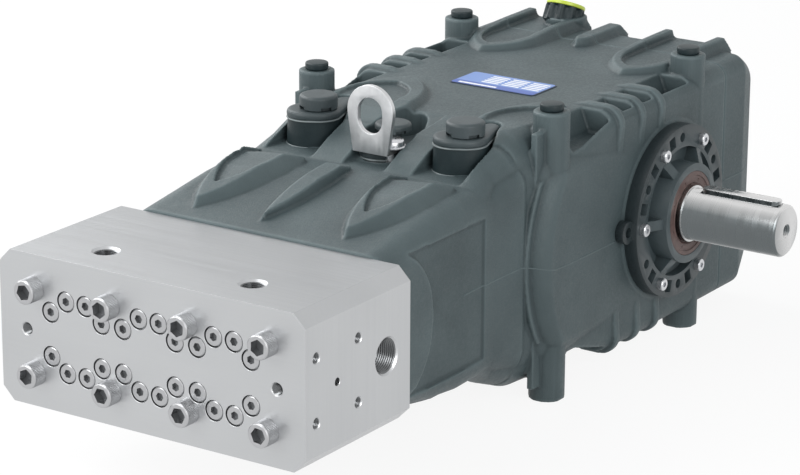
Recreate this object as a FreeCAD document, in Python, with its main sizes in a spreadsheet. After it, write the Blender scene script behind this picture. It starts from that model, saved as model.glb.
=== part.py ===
import FreeCAD, Part
import math
import os

import Sketcher

# A three-cylinder high-pressure plunger pump, in millimetres.
# The origin is the centre of the four feet, on the plane they stand on.
# +Z is up, +X points out along the drive shaft, and -Y points to the fluid head.

doc = FreeCAD.newDocument("plunger_pump")

# Driving sizes
SIZES = [
    ("axis_height", 150.0, "crank and plunger axes above the foot plane"),
    ("crank_setback", 70.0, "crank axis behind the middle of the feet"),
    ("post_inset", 18.0, "post centres inside the crankcase flank"),
    ("foot_reach", 277.0, "foot centres, front to back"),
    ("post_radius", 18.5, "round post that ends in a foot"),
    ("post_height", 301.0, "post, from foot to top face"),
    ("foot_hole_radius", 8.0, "threaded hole in a foot"),
    ("foot_hole_depth", 30.0, "depth of that hole"),
    ("top_hole_radius", 9.0, "hole under a post's plug"),
    ("web_thickness", 7.0, "web in front of a post"),
    ("web_reach", 34.0, "web, from the post's centre to its front edge"),
    ("web_drop", 17.0, "top of a web below the post's top"),
    ("plug_radius", 12.0, "head of the plastic plug on a post"),
    ("plug_head", 7.5, "height of that head"),
    ("plug_stem", 12.0, "length of the plug's stem"),
    ("head_width", 350.0, "fluid head, side to side"),
    ("head_height", 150.0, "fluid head, bottom to top"),
    ("head_depth", 166.0, "fluid head, front to back"),
    ("head_front", 605.0, "front face of the head before the origin"),
    ("head_chamfer", 13.0, "bevel along the head's four long edges"),
    ("cylinder_pitch", 85.0, "plunger centre distance"),
    ("plunger_bore_radius", 16.0, "bore for a plunger in the head's back"),
    ("plunger_bore_depth", 118.0, "depth of that bore"),
    ("bolt_pitch", 89.3, "head screws, side to side"),
    ("bolt_rise", 83.0, "head screws, lower row to upper row"),
    ("bolt_head_radius", 12.0, "cap screw head"),
    ("bolt_head_height", 16.0, "cap screw head"),
    ("bolt_shank_radius", 8.0, "cap screw shank"),
    ("bolt_bite", 24.0, "length of shank in the casing"),
    ("bolt_key_radius", 8.0, "corner radius of the hexagon socket"),
    ("bolt_key_depth", 9.0, "depth of that socket"),
    ("port_spacing", 169.0, "top ports, centre to centre"),
    ("port_setback", 46.0, "top ports behind the front face"),
    ("port_radius", 11.5, "top port thread"),
    ("port_depth", 30.0, "top port"),
    ("inlet_radius", 17.0, "side port thread"),
    ("inlet_depth", 34.0, "side port"),
    ("inlet_setback", 127.5, "side port behind the front face"),
    ("flange_hole_radius", 5.0, "small threaded holes beside the side port"),
    ("flange_hole_depth", 18.0, "depth of those holes"),
    ("flange_hole_pitch", 65.4, "those holes, front to back"),
    ("flange_hole_rise", 61.6, "those holes, bottom to top"),
    ("flange_hole_setback", 16.5, "first of those holes behind the front face"),
    ("front_half_width", 150.0, "casing at the head"),
    ("front_half_height", 77.5, "casing at the head"),
    ("front_corner", 26.0, "casing corner at the head"),
    ("slope_setback", 337.0, "top of the neck's front slope before the origin"),
    ("slope_half_width", 148.0, "casing at the top of that slope"),
    ("slope_half_height", 94.0, "casing at the top of that slope"),
    ("brow_setback", 300.0, "brow of the neck before the origin"),
    ("brow_half_width", 147.0, "casing at the brow"),
    ("brow_half_height", 98.0, "casing at the brow"),
    ("neck_setback", 245.0, "back of the neck before the origin"),
    ("neck_half_width", 145.0, "casing at the back of the neck"),
    ("neck_half_height", 97.5, "casing at the back of the neck"),
    ("neck_corner", 26.0, "casing corner along the neck"),
    ("rib_setback", 196.0, "upright rib of the neck's side before the origin"),
    ("rib_half_width", 147.0, "casing at that rib"),
    ("rib_half_height", 111.0, "casing at that rib"),
    ("rib_corner", 28.0, "casing corner there"),
    ("waist_setback", 179.0, "waist before the origin"),
    ("waist_half_width", 140.0, "casing at the waist"),
    ("waist_half_height", 117.0, "casing at the waist"),
    ("waist_corner", 36.0, "casing corner there"),
    ("shoulder_setback", 150.0, "shoulder before the origin"),
    ("shoulder_half_width", 156.0, "casing at the shoulder"),
    ("shoulder_corner", 52.0, "casing corner there"),
    ("flank_setback", 25.0, "full width of the casing before the origin"),
    ("body_half_width", 160.0, "crankcase"),
    ("body_half_height", 130.0, "crankcase"),
    ("body_corner", 17.0, "crankcase corner"),
    ("cover_joint", 191.0, "joint of the rear cover behind the origin"),
    ("cover_depth", 76.0, "rear cover, front to back"),
    ("cover_edge", 46.0, "rear cover depth where it starts to close in"),
    ("cover_inset", 9.0, "rear cover, closing in at its back"),
    ("leaf_nose", 424.0, "tip of the front leaves before the origin"),
    ("leaf_wide", 99.0, "from that tip to the widest place"),
    ("leaf_run", 176.0, "from that tip to the end of a front leaf"),
    ("leaf_half_width", 38.0, "front leaf at its foot"),
    ("leaf_crest_nose", 22.0, "from the tip to the tip of the crest"),
    ("leaf_crest_half_width", 22.0, "front leaf at its crest"),
    ("leaf_lean", 6.0, "crest of a front leaf, away from the shaft"),
    ("leaf_start", 6.0, "front leaf above the neck at the head"),
    ("leaf_rise", 12.0, "front leaf above the neck behind its slope"),
    ("leaf_sink", 3.0, "foot of a leaf below the surface that carries it"),
    ("leaf_loft", 16.0, "from the foot to the plane of the crest"),
    ("field_nose", 48.0, "from the tip to the lowered field of a front leaf"),
    ("field_half_width", 23.0, "lowered field of a front leaf"),
    ("field_depth", 1.0, "lowered field of a front leaf, on the ridge's side"),
    ("field_tilt", 6.0, "field of a front leaf, falling away from the ridge, in degrees"),
    ("ridge_shift", 14.0, "ridge of a front leaf, towards the shaft"),
    ("small_leaf_shift", 12.0, "middle leaves from the middle plane, away from the shaft"),
    ("small_leaf_nose", 421.0, "tip of the middle front leaf before the origin"),
    ("small_leaf_wide", 85.0, "from that tip to the widest place"),
    ("small_leaf_run", 150.0, "from that tip to the end of the leaf"),
    ("small_leaf_half_width", 17.0, "middle front leaf at its foot"),
    ("small_crest_nose", 14.0, "from the tip to the tip of the crest"),
    ("small_crest_half_width", 9.0, "middle front leaf at its crest"),
    ("small_leaf_lean", 5.0, "crest of the middle front leaf, towards the shaft"),
    ("rear_leaf_nose", 83.0, "tip of the rear leaves behind the origin"),
    ("rear_leaf_wide", 70.0, "from that tip to the full width"),
    ("rear_leaf_half_width", 43.0, "rear leaf at its foot"),
    ("rear_crest_nose", 12.0, "from the tip to the tip of the crest"),
    ("rear_crest_half_width", 35.0, "rear leaf at its crest"),
    ("rear_crest_start", 5.0, "crest above the deck at the tip"),
    ("rear_leaf_rise", 12.0, "rear leaf above the deck, at the joint and behind it"),
    ("rear_field_nose", 24.0, "from the tip to the lowered field"),
    ("rear_field_half_width", 27.0, "lowered field of a rear leaf"),
    ("rear_field_floor", 2.5, "lowered field above the deck"),
    ("rear_leaf_margin", 8.0, "end of a rear leaf before the cover's back"),
    ("small_rear_nose", 162.0, "tip of the middle rear leaf behind the origin"),
    ("small_rear_wide", 22.0, "from that tip to the full width"),
    ("small_rear_half_width", 14.0, "middle rear leaf at its foot"),
    ("small_rear_crest", 7.0, "middle rear leaf at its crest"),
    ("small_rear_rise", 9.0, "middle rear leaf above the deck"),
    ("shoulder_nose", 52.0, "tip of the shoulder leaves before the origin"),
    ("shoulder_shift", 16.0, "shoulder leaves from the bosses, towards the shaft"),
    ("shoulder_turn", 175.0, "way that a shoulder leaf runs, from +Y, in degrees"),
    ("shoulder_wide", 105.0, "from that tip to the full width"),
    ("shoulder_run", 195.0, "from that tip to the end of a shoulder leaf"),
    ("shoulder_foot", 54.0, "shoulder leaf at its foot, half of its width"),
    ("shoulder_crest", 43.0, "shoulder leaf at its crest, half of its width"),
    ("shoulder_crest_nose", 12.0, "from the tip to the tip of the crest"),
    ("shoulder_sink", 4.0, "foot of a shoulder leaf below the deck"),
    ("leaf_limit", 117.0, "shoulder leaves stop at this width beside the first pockets"),
    ("shoulder_root_run", 145.0, "from that tip to the end of a shoulder leaf's root"),
    ("shoulder_root", 50.0, "root of a shoulder leaf below the deck"),
    ("shoulder_loft", 14.0, "from that foot to the plane of the crest"),
    ("shoulder_rise", 8.0, "shoulder leaf above the deck"),
    ("shoulder_field_nose", 38.0, "from the tip to the lowered field"),
    ("shoulder_field_wide", 50.0, "from the field's tip to its full width"),
    ("shoulder_field_half_width", 34.0, "lowered field of a shoulder leaf"),
    ("shoulder_field_lean", 5.0, "that field, away from the shaft"),
    ("ramp_foot_setback", 264.0, "foot of the shoulder ramps before the origin"),
    ("ramp_foot", 98.0, "shoulder ramps at their foot, from the axes"),
    ("ramp_low_setback", 234.0, "steep part of the ramps, top end before the origin"),
    ("ramp_low", 112.5, "ramps there, from the axes"),
    ("ramp_high_setback", 205.0, "flatter part of the ramps, top end before the origin"),
    ("ramp_high", 123.5, "ramps there, from the axes"),
    ("ramp_width", 126.0, "shoulder ramp, side to side"),
    ("ramp_inset", 8.0, "sides of the ramps within the casing's"),
    ("fin_radius", 157.0, "bow of the fin between the front posts"),
    ("fin_setback", 36.0, "centre of that bow before the origin"),
    ("fin_depth", 6.0, "fin, front to back"),
    ("fin_half_height", 84.0, "fin, above and below the axes"),
    ("fin_proud", 2.0, "fin above the neck's side"),
    ("cheek_root", 120.0, "root of the cheeks beside the middle plane"),
    ("cheek_face", 164.5, "face of a cheek at its front end"),
    ("cheek_edge", 24.0, "round of a cheek's front"),
    ("cheek_half_height", 110.0, "cheek, above and below the axes"),
    ("cheek_corner", 30.0, "cheek's upper and lower edge"),
    ("cheek_end", 20.0, "cheek, where it is lost in the flank behind the origin"),
    ("cheek_end_half_width", 159.0, "cheek at that place"),
    ("bead_start", 106.0, "tip of the deck's beads from the middle plane"),
    ("bead_taper", 15.0, "tapered end of a bead"),
    ("bead_width", 9.0, "beads between the pockets"),
    ("bead_rise", 3.5, "beads above the deck and the flank"),
    ("bead_bend", 20.5, "bend of a bead over the flank's edge"),
    ("bead_first", 32.0, "first bead before the origin"),
    ("bead_second", 11.5, "second bead behind the origin"),
    ("bead_third", 51.5, "third bead behind the origin"),
    ("panel_depth", 4.0, "recessed panel in the neck's side"),
    ("panel_back", 264.0, "back edge of that panel before the origin"),
    ("panel_radius", 81.0, "round flange between the head and that panel"),
    ("panel_half_height", 72.0, "recessed panel, above and below mid height"),
    ("cut_room", 60.0, "room given to blocks that only cut"),
    ("boss_pitch", 88.0, "access bosses, side to side"),
    ("boss_setback", 212.0, "cap centres before the origin"),
    ("boss_radius", 23.0, "front end of a boss"),
    ("boss_tail_radius", 8.0, "back end of a boss"),
    ("boss_tail_reach", 45.0, "from the cap centre to the tail's centre"),
    ("boss_top", 276.0, "outer bosses, above the foot plane"),
    ("boss_drop", 26.0, "middle boss, lower than the outer ones"),
    ("lid_height", 8.0, "lid on a boss"),
    ("lid_inset", 1.5, "lid edge inside the boss edge"),
    ("lid_round", 3.0, "rounded edge of a lid"),
    ("recess_margin", 6.0, "recess of the casing round a boss"),
    ("recess_shift", 3.0, "that recess, away from the shaft"),
    ("recess_floor", 248.5, "floor of that recess round the outer bosses"),
    ("middle_recess_floor", 244.0, "floor of that recess round the middle boss"),
    ("hood_height", 26.0, "rubber hood on an outer boss, under its lid"),
    ("middle_hood_height", 5.0, "rubber hood on the middle boss, under its lid"),
    ("middle_cap_shift", 4.0, "middle cap behind the outer ones"),
    ("middle_cap_radius", 18.5, "middle mushroom cap"),
    ("middle_cap_height", 9.5, "middle mushroom cap"),
    ("middle_neck_radius", 9.0, "neck under the middle cap"),
    ("eye_screw_shift", 6.0, "eye's screw towards the shaft"),
    ("eye_screw_gap", 0.4, "from the screw's washer to that neck"),
    ("eye_screw_radius", 11.0, "head of the eye's screw"),
    ("eye_screw_height", 7.0, "head of the eye's screw"),
    ("eye_screw_shank", 6.0, "shank of the eye's screw"),
    ("eye_screw_length", 18.0, "shank of the eye's screw"),
    ("eye_washer_radius", 12.0, "washer under it"),
    ("eye_washer_height", 2.0, "washer under it"),
    ("cap_lift", 0.6, "middle cap above the eye's screw"),
    ("cap_radius", 19.5, "mushroom cap"),
    ("cap_height", 12.0, "mushroom cap"),
    ("cap_neck_radius", 14.0, "neck under the mushroom cap"),
    ("cap_neck_height", 3.0, "neck under the mushroom cap"),
    ("cap_round", 3.5, "rounded edge of the caps"),
    ("shaft_radius", 27.5, "shaft end"),
    ("journal_radius", 30.0, "shaft where the seal runs"),
    ("shaft_length", 108.0, "shaft end in front of its shoulder"),
    ("shaft_shoulder", 3.0, "shoulder of the shaft in front of the hub"),
    ("shaft_root", 60.0, "inner end of the modelled shaft"),
    ("shaft_bevel", 2.5, "bevel at the shaft's end"),
    ("shaft_clearance", 0.06, "running clearance round the shaft"),
    ("centre_hole_radius", 7.0, "threaded hole in the shaft's end"),
    ("centre_hole_depth", 36.0, "depth of that hole"),
    ("key_width", 16.0, "shaft key"),
    ("key_height", 10.0, "shaft key"),
    ("key_sunk", 6.0, "part of the key in the shaft"),
    ("key_length", 90.0, "shaft key"),
    ("key_margin", 7.0, "from the key to the shaft's end"),
    ("key_round", 7.9, "round ends of the key"),
    ("flange_radius", 92.0, "bearing cover"),
    ("seat_radius", 96.0, "machined seat under a bearing cover"),
    ("seat_height", 1.0, "machined seat under a bearing cover"),
    ("flange_thickness", 15.0, "bearing cover"),
    ("groove_outer", 69.0, "ring groove round the hub of the cover"),
    ("groove_inner", 53.0, "ring groove round the hub of the cover"),
    ("groove_depth", 10.0, "ring groove round the hub of the cover"),
    ("hub_height", 13.0, "hub above the cover's face"),
    ("rib_width", 9.0, "ribs across the ring groove"),
    ("seal_radius", 45.0, "oil seal"),
    ("seal_width", 12.0, "oil seal"),
    ("cover_hole_ring", 80.0, "radius of the ring of holes in the cover"),
    ("cover_hole_radius", 5.0, "round holes in the cover"),
    ("window_width", 12.0, "windows in the cover, round the ring"),
    ("window_reach", 13.0, "windows in the cover, across the ring"),
    ("window_depth", 9.0, "windows and holes in the cover"),
    ("lug_radius", 12.0, "lug at the cover's front edge"),
    ("lug_ring", 98.0, "centre of the lug from the crank axis"),
    ("lug_hole_radius", 5.5, "hole in the lug"),
    ("lug_thickness", 9.0, "lug"),
    ("way_margin", 2.0, "clearance of the shaft behind the seal"),
    ("eye_ring_radius", 27.0, "lifting eye, outside"),
    ("eye_hole_radius", 14.5, "lifting eye, inside"),
    ("eye_hole_rise", 8.0, "straight part of the eye's hole"),
    ("eye_centre", 300.5, "ring centre above the foot plane"),
    ("eye_plate", 5.5, "plate thickness"),
    ("eye_lead", 17.5, "front of the eye's plate before its screw"),
    ("eye_half_width", 20.5, "foot of the eye"),
    ("eye_foot", 34.0, "foot of the eye, front to back"),
    ("plate_width", 103.0, "nameplate"),
    ("plate_length", 51.0, "nameplate"),
    ("plate_thickness", 1.0, "nameplate"),
    ("plate_shift", 7.5, "nameplate centre towards the shaft"),
    ("plate_setback", 13.5, "nameplate centre before the origin"),
    ("filler_radius", 21.0, "oil filler cap"),
    ("filler_height", 24.0, "oil filler cap, above its boss"),
    ("filler_boss_radius", 23.0, "boss under the oil filler cap"),
    ("filler_rim", 4.0, "coloured top of the filler cap"),
    ("filler_shift", 70.0, "oil filler from the middle plane, away from the shaft"),
    ("filler_setback", 243.0, "oil filler behind the origin"),
    ("glass_radius", 16.0, "oil level glass on the rear cover"),
    ("glass_height", 6.0, "oil level glass"),
    ("glass_drop", 28.0, "oil level glass below the crank axis"),
    ("drain_radius", 14.0, "oil drain plug"),
    ("drain_height", 9.0, "oil drain plug"),
    ("drain_drop", 95.0, "oil drain plug below the crank axis"),
    ("pocket_depth", 26.0, "pockets along the deck's edge"),
    ("pocket_wall", 6.0, "wall outside those pockets"),
    ("pocket_reach", 24.0, "pockets, side to side"),
    ("pocket_ramp", 11.0, "slope of a pocket's inner side"),
    ("pocket_front_start", -116.0, "front end of the first pocket behind the origin"),
    ("pocket_front_run", 72.0, "first pocket, front to back"),
    ("pocket_second_start", -20.0, "front end of the second pocket"),
    ("pocket_third_start", 21.0, "front end of the third pocket"),
    ("pocket_small_run", 22.0, "second and third pocket, front to back"),
    ("pocket_back_start", 60.0, "front end of the last pocket"),
    ("pocket_back_run", 58.0, "last pocket, front to back"),
    ("fit_gap", 0.1, "clearance of pieces that seat in each other"),
]

sheet = doc.addObject("Spreadsheet::Sheet", "sizes")
for row, (alias, number, note) in enumerate(SIZES, start=1):
    sheet.set("A%d" % row, note)
    sheet.set("B%d" % row, str(number))
    sheet.setAlias("B%d" % row, alias)

# Sizes that follow from the driving ones
FOLLOWING = [
    ("head_back", "sizes.head_front - sizes.head_depth"),
    ("head_base", "sizes.axis_height - sizes.head_height / 2"),
    ("head_top", "sizes.axis_height + sizes.head_height / 2"),
    ("deck_height", "sizes.axis_height + sizes.body_half_height"),
    ("foot_x", "sizes.body_half_width - sizes.post_inset"),
    ("foot_y", "sizes.foot_reach / 2"),
    ("cover_back", "sizes.cover_joint + sizes.cover_depth"),
    ("cover_close", "sizes.cover_joint + sizes.cover_edge"),
    ("cover_back_half_width", "sizes.body_half_width - sizes.cover_inset"),
    ("cover_back_half_height", "sizes.body_half_height - sizes.cover_inset"),
    ("cover_back_corner", "sizes.body_corner + sizes.cover_inset"),
    ("seat_face", "sizes.body_half_width + sizes.seat_height"),
    ("flange_face", "seat_face + sizes.flange_thickness"),
    ("hub_face", "flange_face + sizes.hub_height"),
    ("shaft_step", "hub_face + sizes.shaft_shoulder"),
    ("shaft_tip", "shaft_step + sizes.shaft_length"),
    ("lid_top", "sizes.boss_top + sizes.lid_height"),
    ("eye_foot_level", "lid_top - sizes.boss_drop"),
    ("middle_cap_setback", "sizes.boss_setback - sizes.middle_cap_shift"),
    ("eye_screw_reach", "sizes.eye_washer_radius + sizes.middle_neck_radius + sizes.eye_screw_gap"),
    ("eye_screw_setback", "middle_cap_setback + sqrt(eye_screw_reach ^ 2 - sizes.eye_screw_shift ^ 2)"),
    ("eye_setback", "eye_screw_setback + sizes.eye_lead"),
    ("fin_reach", "sizes.rib_half_width + sizes.fin_proud - foot_x + sizes.web_thickness / 2"),
    ("neck_slope", "(sizes.slope_half_height - sizes.front_half_height) / (head_back - sizes.slope_setback)"),
    ("leaf_level", "sizes.axis_height + sizes.front_half_height + neck_slope * (head_back - sizes.leaf_nose)"),
    ("small_leaf_level", "leaf_level + neck_slope * (sizes.leaf_nose - sizes.small_leaf_nose)"),
    ("slope_ceiling", "sizes.slope_half_height + sizes.leaf_rise"),
    ("brow_ceiling", "sizes.brow_half_height + sizes.leaf_rise"),
    ("slope_floor", "slope_ceiling - sizes.field_depth"),
    ("brow_floor", "brow_ceiling - sizes.field_depth"),
    ("front_ceiling", "sizes.front_half_height + sizes.leaf_start"),
    ("neck_floor", "sizes.neck_half_height - sizes.field_depth"),
    ("body_ceiling", "sizes.body_half_height + sizes.shoulder_rise"),
    ("waist_ceiling", "body_ceiling - sizes.shoulder_sink"),
    ("bead_bend_level", "deck_height + sizes.bead_rise - sizes.bead_bend"),
    ("bead_bend_reach", "sizes.body_half_width + sizes.bead_rise - sizes.bead_bend"),
    ("leaf_pitch", "atan(neck_slope)"),
    ("rear_leaf_run", "cover_back - sizes.rear_leaf_margin - sizes.rear_leaf_nose"),
    ("rear_crest_gain", "sizes.rear_leaf_rise - sizes.rear_crest_start"),
    ("rear_crest_tilt", "atan(rear_crest_gain / (sizes.cover_joint - sizes.rear_leaf_nose))"),
    ("small_rear_run", "cover_back - sizes.rear_leaf_margin - sizes.small_rear_nose"),
]
fits = doc.addObject("Spreadsheet::Sheet", "fits")
for row, (alias, formula) in enumerate(FOLLOWING, start=1):
    fits.set("A%d" % row, "=" + formula)
    fits.setAlias("A%d" % row, alias)
    doc.recompute()


def value(text):
    """The number that an expression on the sheets gives, for first guesses and for edges."""
    found = sheet.evalExpression(text.replace("sizes.", "").replace("fits.", "<<fits>>."))
    return float(getattr(found, "Value", found))


ALONG_X = FreeCAD.Rotation(FreeCAD.Vector(0, 1, 0), 90)
ALONG_Y = FreeCAD.Rotation(FreeCAD.Vector(1, 0, 0), -90)
STANDING = FreeCAD.Rotation(FreeCAD.Vector(1, 0, 0), 90)
UPRIGHT = FreeCAD.Rotation()
parts = []


def shape_of(kind, name, where, turn=UPRIGHT, **bound):
    """A Part primitive with its sizes and its place bound to the sheets."""
    made = doc.addObject("Part::" + kind, name)
    made.Placement = FreeCAD.Placement(FreeCAD.Vector(), turn)
    for prop, text in bound.items():
        made.setExpression(prop, text)
    for axis, text in zip("xyz", where):
        made.setExpression("Placement.Base." + axis, text)
    return made


def rod(name, where, radius, length, turn=UPRIGHT):
    return shape_of("Cylinder", name, where, turn, Radius=radius, Height=length)


def block(name, where, length, width, height):
    return shape_of("Box", name, where, Length=length, Width=width, Height=height)


def fused(name, pieces):
    made = doc.addObject("Part::MultiFuse", name)
    made.Shapes = pieces
    return made


def gathered(name, pieces):
    """Like pieces that don't touch, kept together in one compound."""
    made = doc.addObject("Part::Compound", name)
    made.Links = pieces
    return made


def less(name, base, tools):
    made = doc.addObject("Part::Cut", name)
    made.Base = base
    made.Tool = tools[0] if len(tools) == 1 else fused(name + "_tools", tools)
    return made


def shared(name, first, second):
    made = doc.addObject("Part::Common", name)
    made.Base = first
    made.Tool = second
    return made


def turned_over(name, source):
    """The same shape under the casing, mirrored at the height of the axes."""
    made = doc.addObject("Part::Mirroring", name)
    made.Source = source
    made.Normal = FreeCAD.Vector(0, 0, 1)
    made.setExpression("Base.z", "sizes.axis_height")
    return made


def mirrored(name, source):
    """The same shape on the other side of the middle plane."""
    made = doc.addObject("Part::Mirroring", name)
    made.Source = source
    made.Normal = FreeCAD.Vector(1, 0, 0)
    return made


def edged(kind, name, base, amount, chosen):
    """Chamfers or rounds the edges of base that chosen(edge) picks."""
    doc.recompute()
    made = doc.addObject("Part::" + kind, name)
    made.Base = base
    size = value(amount)
    edges = enumerate(base.Shape.Edges, start=1)
    made.Edges = [(number, size, size) for number, edge in edges if chosen(edge)]
    return made


def part(label, made):
    made.Label = label
    parts.append(made)
    return made


def plane_of(body, role):
    return [item for item in body.Origin.OriginFeatures if item.Role == role][0]


def new_sketch(body, name, role, offset=None, tilt=None):
    sketch = body.newObject("Sketcher::SketchObject", name)
    sketch.AttachmentSupport = (plane_of(body, role), "")
    sketch.MapMode = "FlatFace"
    if offset:
        sketch.setExpression("AttachmentOffset.Base.z", offset)
    if tilt:
        sketch.AttachmentOffset = FreeCAD.Placement(FreeCAD.Vector(), FreeCAD.Rotation(FreeCAD.Vector(1, 0, 0), 1))
        sketch.setExpression("AttachmentOffset.Rotation.Angle", tilt)
    return sketch


def tie(sketch, *terms, to=None):
    """Adds a constraint; with an expression in to, its last term is the size that it holds."""
    if to is None:
        sketch.addConstraint(Sketcher.Constraint(*terms))
    elif abs(value(to)) < 0.001:
        sketch.addConstraint(Sketcher.Constraint("PointOnObject", *terms[3:5], -2 if terms[0] == "DistanceX" else -1))
    else:
        number = sketch.addConstraint(Sketcher.Constraint(*terms, value(to)))
        sketch.setExpression("Constraints[%d]" % number, to)


def line(sketch, start, end):
    sketch.addGeometry(Part.LineSegment(FreeCAD.Vector(*start, 0), FreeCAD.Vector(*end, 0)), False)


def arc(sketch, centre, radius, first, last):
    circle = Part.Circle(FreeCAD.Vector(*centre, 0), FreeCAD.Vector(0, 0, 1), radius)
    sketch.addGeometry(Part.ArcOfCircle(circle, first, last), False)


def corner_box(sketch, half_width, half_height, corner):
    """A rectangle with round corners, centred on X and on the height of the axes."""
    wide, high, bend, centre = (value(text) for text in (half_width, half_height, corner, "sizes.axis_height"))
    low, top = centre - high, centre + high
    line(sketch, (bend - wide, low), (wide - bend, low))
    line(sketch, (wide, low + bend), (wide, top - bend))
    line(sketch, (wide - bend, top), (bend - wide, top))
    line(sketch, (-wide, top - bend), (-wide, low + bend))
    turns = [(wide - bend, low + bend), (wide - bend, top - bend), (bend - wide, top - bend), (bend - wide, low + bend)]
    for quarter, spot in enumerate(turns):
        first = (quarter - 1) * math.pi / 2
        arc(sketch, spot, bend, first, first + math.pi / 2)
    for side in range(4):
        tie(sketch, "Tangent", side, 2, 4 + side, 1)
        tie(sketch, "Tangent", 4 + side, 2, (side + 1) % 4, 1)
        tie(sketch, "Vertical" if side % 2 else "Horizontal", side)
    for turn in (5, 6, 7):
        tie(sketch, "Equal", 4, turn)
    tie(sketch, "Radius", 4, to=corner)
    tie(sketch, "DistanceX", -1, 1, 1, 1, to=half_width)
    tie(sketch, "DistanceX", 3, 1, -1, 1, to=half_width)
    tie(sketch, "DistanceY", -1, 1, 0, 1, to="sizes.axis_height - " + half_height)
    tie(sketch, "DistanceY", -1, 1, 2, 1, to="sizes.axis_height + " + half_height)


def loft_body(name, stations):
    """A ruled loft through round-cornered sections; each station starts with its place before the origin."""
    body = doc.addObject("PartDesign::Body", name)
    sections = []
    for number, (place, half_width, half_height, corner) in enumerate(stations, start=1):
        sketch = new_sketch(body, "%s_section_%d" % (name, number), "XZ_Plane", place)
        corner_box(sketch, half_width, half_height, corner)
        sections.append(sketch)
    return lofted(body, sections)


def lofted(body, sections):
    doc.recompute()
    loft = body.newObject("PartDesign::AdditiveLoft", body.Name + "_loft")
    loft.Profile = sections[0]
    loft.Sections = sections[1:]
    loft.Ruled = True
    body.Tip = loft
    return body


def padded(body, sketch, height):
    doc.recompute()
    pad = body.newObject("PartDesign::Pad", body.Name + "_pad")
    pad.Profile = sketch
    pad.setExpression("Length", height)
    body.Tip = pad
    return body


def put(body, where, turn_axis=None, angle=None):
    """Places a body, turned about one of its axes where an angle is given."""
    if turn_axis:
        body.Placement = FreeCAD.Placement(FreeCAD.Vector(), FreeCAD.Rotation(FreeCAD.Vector(*turn_axis), 1))
        body.setExpression("Placement.Rotation.Angle", angle)
    for axis, text in zip("xyz", where):
        body.setExpression("Placement.Base." + axis, text)
    return body


def leaf_outline(sketch, nose, wide, half_width, end, lean="0", straight=False):
    """A leaf with its tip first along +Y: two arcs, with straight sides behind them if asked, and a straight end."""
    tip, broad, half, last, shift = (value(text) for text in (nose, wide, half_width, end, lean))
    radius = ((broad - tip) ** 2 + half ** 2) / (2 * half)
    start = math.atan2(tip - broad, radius - half)
    stop = 0.0 if straight else math.asin((last - broad) / radius)
    inner = radius - half
    arc(sketch, (shift - inner, broad), radius, start, stop)
    arc(sketch, (shift + inner, broad), radius, math.pi - stop, math.pi - start)
    right = (shift - inner + radius * math.cos(stop), broad + radius * math.sin(stop))
    left = (2 * shift - right[0], right[1])
    tie(sketch, "Coincident", 0, 1, 1, 2)
    tie(sketch, "DistanceX", -1, 1, 0, 1, to=lean)
    tie(sketch, "DistanceY", -1, 1, 0, 1, to=nose)
    tie(sketch, "DistanceY", -1, 1, 0, 3, to=wide)
    tie(sketch, "Horizontal", 0, 3, 1, 3)
    tie(sketch, "Equal", 0, 1)
    tie(sketch, "Radius", 0, to="((%s - (%s)) ^ 2 + (%s) ^ 2) / (2 * (%s))" % (wide, nose, half_width, half_width))
    if straight:
        line(sketch, right, (right[0], last))
        line(sketch, (right[0], last), (left[0], last))
        line(sketch, (left[0], last), left)
        tie(sketch, "Tangent", 0, 2, 2, 1)
        tie(sketch, "Vertical", 2)
        tie(sketch, "Coincident", 2, 2, 3, 1)
        tie(sketch, "Horizontal", 3)
        tie(sketch, "Coincident", 3, 2, 4, 1)
        tie(sketch, "Vertical", 4)
        tie(sketch, "Tangent", 4, 2, 1, 1)
        tie(sketch, "DistanceY", -1, 1, 3, 1, to=end)
    else:
        line(sketch, right, left)
        tie(sketch, "Coincident", 0, 2, 2, 1)
        tie(sketch, "Coincident", 2, 2, 1, 1)
        tie(sketch, "Horizontal", 2)
        tie(sketch, "DistanceY", -1, 1, 2, 1, to=end)


def leaf_body(name, foot, crest, lift, tilt=None):
    """A raised leaf with sloping flanks, lofted from the outline of its foot to that of its crest."""
    body = doc.addObject("PartDesign::Body", name)
    low = new_sketch(body, name + "_foot", "XY_Plane")
    leaf_outline(low, **foot)
    high = new_sketch(body, name + "_crest", "XY_Plane", lift, tilt)
    leaf_outline(high, **crest)
    return lofted(body, [low, high])


def leaf_prism(name, outline, height):
    """A straight-walled prism of a leaf's outline, to cut a field with."""
    body = doc.addObject("PartDesign::Body", name)
    sketch = new_sketch(body, name + "_outline", "XY_Plane")
    leaf_outline(sketch, **outline)
    return padded(body, sketch, height)


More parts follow.
